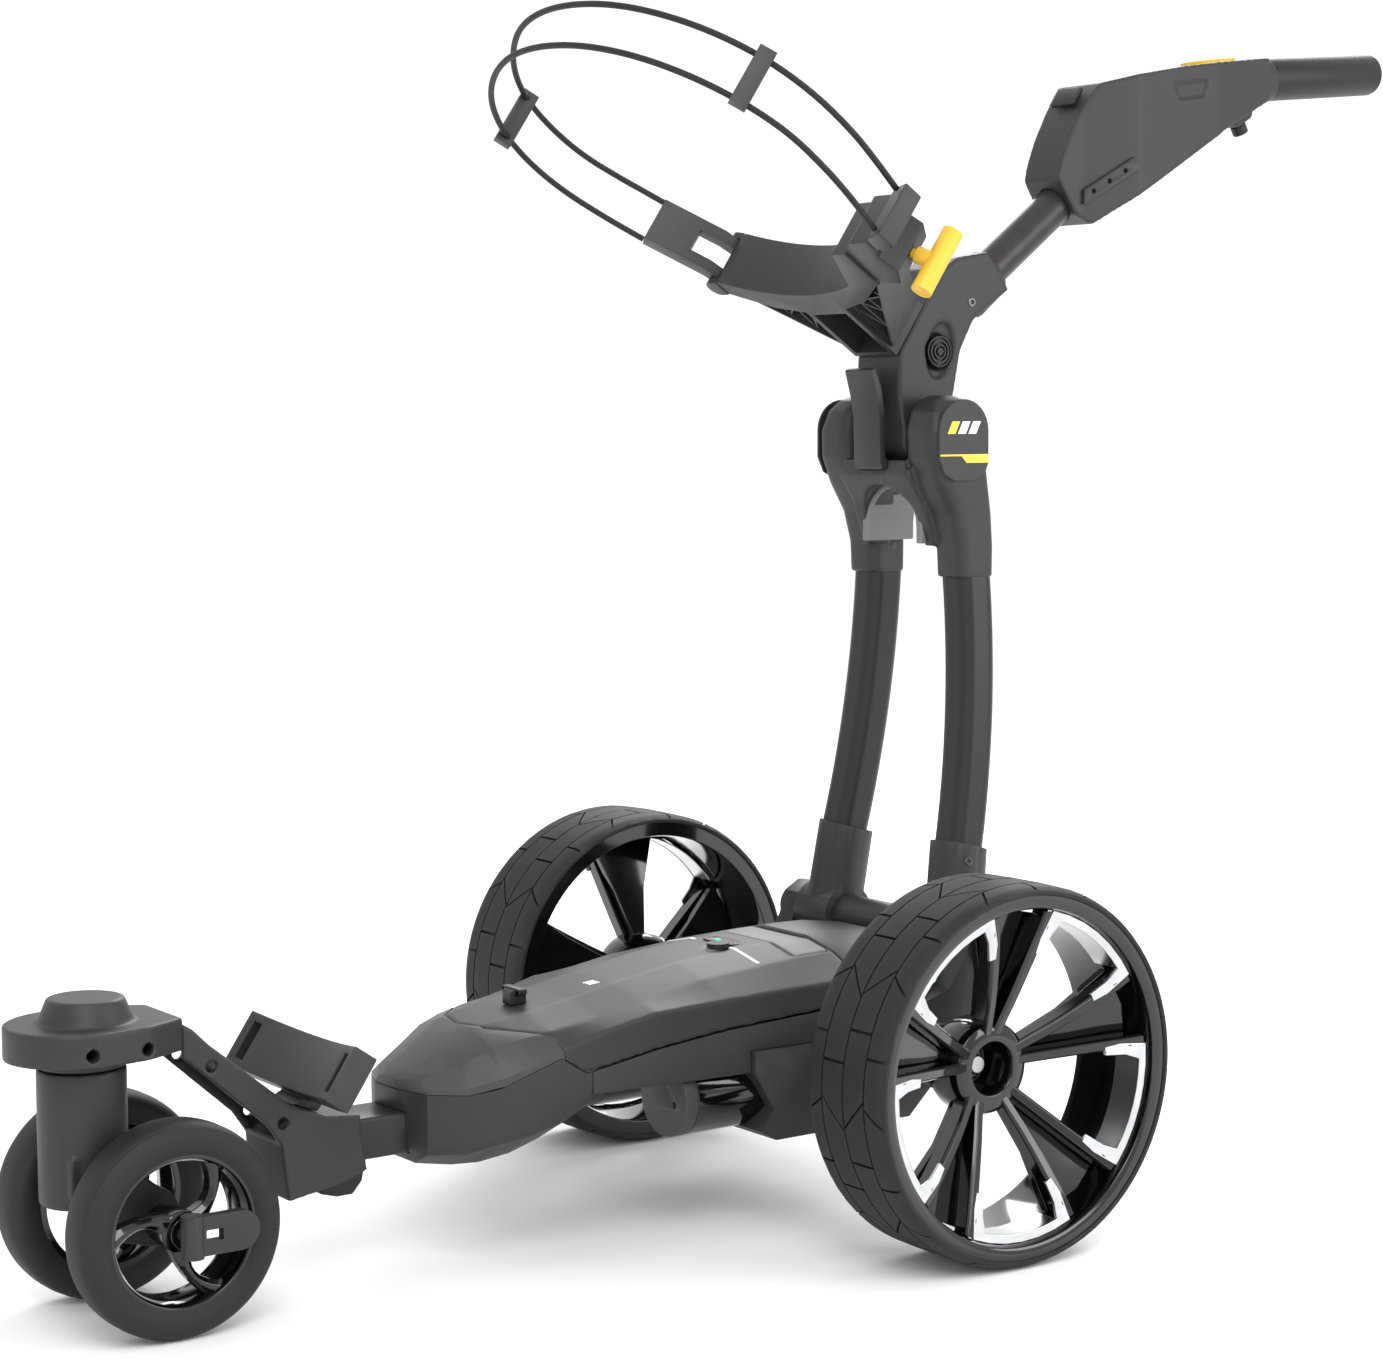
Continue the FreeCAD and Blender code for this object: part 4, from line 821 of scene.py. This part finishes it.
arm = moulded("front_arm_skin", [structure("front_arm")], "chassis", "charcoal", CHARCOAL, "front_arm",
              cuts=holes, voxel=1.4, rounds=4)
pockets = [across([(384, 921), (426, 927), (420, 911), (392, 907)], s * 34.6, s * 44) for s in (1, -1)]
housing = moulded("handle_housing_skin", [structure("handle_housing"),
                                          rod_between((0, 478, 926), (0, 531, 935.4), 23.5, 20.0)],
                  "upper", "charcoal", CHARCOAL, "handle_housing", cuts=pockets, voxel=1.4, rounds=6)
column = moulded("castor_column_skin", [structure("castor_column")], "castor", "charcoal", CHARCOAL,
                 "castor_column", voxel=1.5, rounds=6)
case = moulded("battery_case_skin", [structure("battery_case")], "battery", "charcoal", CHARCOAL,
               "battery_case", cuts=[rod_between((16, -90, 210.5), (16, -90, 225), 10.3, 10.3)], voxel=1.8,
               rounds=5)
print([(o.name, len(o.data.polygons)) for o in (head, cap, arm, housing, column, case)])

# %% Ribs under the saddle of the bag cradle
def cradle_rib(start, end, thick=2.0, reach=22.0):
    """A thin wall in the hoop's frame between two (across, up) points."""
    a, b = Vector(start), Vector(end)
    side = Vector((-(b - a).y, (b - a).x)).normalized() * thick / 2
    loop = [a - side, b - side, b + side, a + side]
    return skin([[on_hoop(p.x, p.y, down) for p in loop] for down in (-reach, reach)])


walls = []
for s in (1, -1):
    rim = [(s * 92, -154), (s * 78, -172), (s * 62, -192), (s * 46, -213), (s * 28, -236)]
    top = [(s * 74, -166), (s * 58, -174), (s * 44, -178), (s * 28, -182)]
    walls += [cradle_rib(p, q) for p, q in zip(rim, rim[1:])]
    walls += [cradle_rib(p, q, 1.6, 20) for p, q in zip(rim[1:], top)]
    walls += [cradle_rib(p, q, 1.6, 20) for p, q in zip(rim[1:], top[1:])]
show("cradle_ribs", gathered(walls), "upper", "charcoal", CHARCOAL)
print("ribs:", len(walls))

# %% [markdown]
# ## Small fittings seated on the surfaces
# Screws, stripes and the lamp lie on surfaces that curve. All but the yoke's screws find their places
# along a line that is followed until it meets the structure. The places of screws and lamp, and the
# ways they face, go into a mesh of loose points, and a Geometry Nodes tree sets a copy on each point.

# %% Finding a seat on the structure
TREES = {}
OVERHEAD = 400


def seat(node, origin, direction):
    """Where a line meets a structural part, and which way the surface faces there."""
    if node not in TREES:
        mesh = nodes[node].data
        TREES[node] = BVHTree.FromPolygons([v.co for v in mesh.vertices],
                                           [p.vertices[:] for p in mesh.polygons])
    place, facing, _, _ = TREES[node].ray_cast(mm(*origin), Vector(direction).normalized())
    return place, facing


def fittings_on_points(name, material):
    """A tree that sets copies of an object on points, each turned to its facing, then realizes them."""
    tree = bpy.data.node_groups.new(name, "GeometryNodeTree")
    tree.interface.new_socket("Geometry", in_out="INPUT", socket_type="NodeSocketGeometry")
    tree.interface.new_socket("Fitting", in_out="INPUT", socket_type="NodeSocketObject")
    size = tree.interface.new_socket("Size", in_out="INPUT", socket_type="NodeSocketFloat")
    size.default_value = 1.0
    tree.interface.new_socket("Geometry", in_out="OUTPUT", socket_type="NodeSocketGeometry")
    start, end = tree.nodes.new("NodeGroupInput"), tree.nodes.new("NodeGroupOutput")
    shape = tree.nodes.new("GeometryNodeObjectInfo")
    facing = tree.nodes.new("GeometryNodeInputNamedAttribute")
    facing.data_type = "FLOAT_VECTOR"
    facing.inputs["Name"].default_value = "facing"
    turn = tree.nodes.new("FunctionNodeAlignRotationToVector")
    turn.axis = "Z"
    copies = tree.nodes.new("GeometryNodeInstanceOnPoints")
    real = tree.nodes.new("GeometryNodeRealizeInstances")
    paint = tree.nodes.new("GeometryNodeSetMaterial")
    paint.inputs["Material"].default_value = material
    for source, output, target, socket in (
            (start, "Geometry", copies, "Points"), (start, "Fitting", shape, "Object"),
            (shape, "Geometry", copies, "Instance"), (facing, "Attribute", turn, "Vector"),
            (turn, "Rotation", copies, "Rotation"), (start, "Size", copies, "Scale"),
            (copies, "Instances", real, "Geometry"), (real, "Geometry", paint, "Geometry"),
            (paint, "Geometry", end, "Geometry")):
        tree.links.new(source.outputs[output], target.inputs[socket])
    return tree


def fitting(profile, steps):
    """A small turned fitting, standing up along Z; the profile is (radius, height) in millimetres."""
    angles = [math.tau * i / steps for i in range(steps)]
    rings = [[Vector((r * math.cos(a), r * math.sin(a), h)) / 1000 for r, h in profile] for a in angles]
    return skin(rings + [rings[0]], cap=False)


def set_on(name, seats, mesh, body, slot, material, size=1.0):
    """One plain mesh of a fitting copied to every seat."""
    shape = bpy.data.objects.new(name + "_shape", mesh)
    points = bpy.data.meshes.new(name + "_points")
    points.from_pydata([place for place, _ in seats], [], [])
    facing = points.attributes.new("facing", "FLOAT_VECTOR", "POINT")
    facing.data.foreach_set("vector", [c for _, normal in seats for c in normal])
    carrier = bpy.data.objects.new(name + "_carrier", points)
    for helper in (shape, carrier):
        bpy.context.scene.collection.objects.link(helper)
    tree = fittings_on_points(name + "_tree", material)
    modifier = carrier.modifiers.new("fittings", "NODES")
    modifier.node_group = tree
    for item in tree.interface.items_tree:
        if item.item_type == "SOCKET" and item.in_out == "INPUT" and item.name in ("Fitting", "Size"):
            modifier[item.identifier] = shape if item.name == "Fitting" else size
    whole = bpy.data.meshes.new_from_object(carrier.evaluated_get(bpy.context.evaluated_depsgraph_get()))
    for helper in (shape, carrier):
        bpy.data.objects.remove(helper)
    whole.materials.clear()
    return show(name, whole, body, slot, material)


SCREW = [(0.01, -1.5), (3.9, -1.5), (3.9, 0.5), (3.2, 1.1), (1.9, 1.1), (1.7, -0.6), (0.01, -0.6)]
print("screw profile:", len(SCREW), "points")

# %% Screws
leg_screws = [(mm(-57 + 18.6 * c, 132 + 18.6 * d, z), Vector((c, d, 0))) for c, d, z in
              ((0.81, -0.58, 513.6), (0.98, 0.17, 527))]
set_on("yoke_screws", leg_screws, fitting(SCREW, 24), "stem", "steel", SCREW_STEEL, 0.7)
set_on("socket_screws", [seat("stem_sockets", (200, 103, 276), (-1, 0, 0)),
                         seat("stem_sockets", (-200, 103, 276), (1, 0, 0))],
       fitting(SCREW, 24), "stem", "steel", SCREW_STEEL, 0.85)
set_on("head_screws", [seat("head_casting", (s * 100, 163, 730), (-s, 0, 0)) for s in (1, -1)],
       fitting(SCREW, 24), "upper", "steel", SCREW_STEEL, 1.0)
print("yoke screws:", len(leg_screws))

# %% Marks, lamp and button on the battery
def laid_strip(node, start, end, width, proud=0.35, pieces=8):
    """A thin strip that follows a part's upper surface between two points."""
    a, b = Vector(start), Vector(end)
    side = Vector((-(b - a).y, (b - a).x)).normalized() * width / 2
    rings = []
    for i in range(pieces + 1):
        centre = a + (b - a) * i / pieces
        low = [seat(node, (*(centre + s * side), OVERHEAD), (0, 0, -1))[0] for s in (-1, 1)]
        lift = Vector((0, 0, proud / 1000))
        rings.append([low[0] - lift, low[1] - lift, low[1] + lift, low[0] + lift])
    return skin(rings)


stripes = [laid_strip("battery_case", (s * 24, -84), (s * 62, -84), 3.0) for s in (1, -1)]
stripes += [laid_strip("battery_case", (x, -214), (x + 3, -206), 1.8) for x in (8, 12, 16)]
show("battery_pale_stripes", gathered(stripes), "battery", "mid_grey", WHITE_MARK)
pill, _ = seat("battery_case", (0, -74, OVERHEAD), (0, 0, -1))
oval = [(u / 1000, v / 1000) for u, v in arc(13, 0, 8, -90, 90, 12) + arc(-13, 0, 8, 90, 270, 12)]
surround = skin([[pill + Vector((x * k, y * k, h)) for x, y in oval]
                 for k, h in ((1.0, -0.0006), (1.0, 0.0005), (0.9, 0.0008), (0.86, 0.0002))])
soften(show("battery_key_surround", surround, "battery", "black_trim", BLACK_TRIM), 0.2, 2, 40)
lamp_at = pill + Vector((-0.006, 0, 0))
set_on("battery_lamp", [(lamp_at, Vector((0, 0, 1)))],
       fitting([(0.01, -0.2), (2.2, -0.2), (2.0, 0.9), (0.01, 1.2)], 20), "battery", "cap_grey", LAMP)
print("stripes:", len(stripes), "lamp at", tuple(lamp_at))

# %% The handle's front panel
panel = []
for i in range(15):
    t = i / 14
    y, z = 268.3 + 34 * t ** 1.15, 846 + 62 * t
    half = 11.5 * min(1, (1 - abs(2 * t - 1) ** 6) + 0.35)
    panel.append([mm(-half, y + 1, z - 1), mm(half, y + 1, z - 1), mm(half, y - 1.2, z + 0.5),
                  mm(-half, y - 1.2, z + 0.5)])
soften(show("handle_front_panel", skin(panel), "upper", "black_trim", GREY_TOP), 0.5, 2, 40)
print("panel rings:", len(panel))

# %% [markdown]
# ## Mouldings that keep the structure's own shape
# Many parts are already the right shape: they only need the round edges a mould gives and their own
# finish. They are dressed in one table: part, body, the record's finish, the material and how soft. A
# second table only gives a material to parts that stay as they are.

# %% Dressed mouldings
for part, body, slot, material, width in (
        ("arm_release_lever", "arm_release", "black_trim", BLACK_TRIM, 1.5),
        ("main_bar", "chassis", "dark_metal", ANODISED, 3.5),
        ("lower_bag_support", "chassis", "charcoal", CHARCOAL, 1.4),
        ("nose_shell", "chassis", "black_trim", CHARCOAL, 1.2),
        ("nose_cover", "chassis", "mid_grey", GREY_TOP, 1.2),
        ("battery_handle", "carry_handle", "mid_grey", PAD_GREY, 1.2),
        ("power_plug", "plug", "black_trim", BLACK_TRIM, 1.5),
        ("battery_tray", "chassis", "black_trim", CHARCOAL, 0.8),
        ("rear_housing", "chassis", "black_trim", CHARCOAL, 2.5),
        ("drive_motors", "chassis", "motor_black", PIANO_BLACK, 1.0),
        ("motor_caps", "chassis", "cap_grey", GREY_TOP, 1.0),
        ("rear_cover", "chassis", "charcoal", CHARCOAL, 2.0),
        ("cross_tube", "chassis", "dark_metal", CHARCOAL, 2.0),
        ("stem_sockets", "stem", "charcoal", CHARCOAL, 1.5),
        ("latch_tongue", "tongue", "charcoal", CHARCOAL, 1.5),
        ("bag_cradle", "upper", "charcoal", CHARCOAL, 1.2),
        ("hoop_catch", "upper", "charcoal", CHARCOAL, 1.5),
        ("pull_handle", "hoop_release", "yellow", YELLOW, 2.0),
        ("hoop_buckle", "hoop", "charcoal", CHARCOAL, 1.5),
        ("hoop_clips", "hoop", "black_trim", CHARCOAL, 1.2),
        ("hoop_hook", "hoop", "charcoal", CHARCOAL, 1.5),
        ("speed_dial", "dial", "yellow", YELLOW, 1.0),
        ("dial_button", "dial_push", "black_trim", BLACK_TRIM, 1.0),
        ("charge_flap", "socket_flap", "black_trim", BLACK_TRIM, 1.0),
        ("accessory_rails", "upper", "charcoal", CHARCOAL, 0.6),
        ("clip_knob", "clip_screw", "black_trim", BLACK_TRIM, 1.0),
        ("handle_grip", "upper", "grip", GRIP_RUBBER, 2.0)):
    dressed(part, body, slot, material, width)
for part, material in (("stem_tubes", ANODISED), ("upper_tube", ANODISED), ("castor_axle", STEEL),
                       ("steering_bearing", STEEL), ("axle_bearings", STEEL), ("fold_pin", STEEL),
                       ("battery_cells", CELL_BLUE), ("controller_board", CIRCUIT),
                       ("battery_button", BLACK_TRIM)):
    nodes[part].data.materials.clear()
    nodes[part].data.materials.append(material)
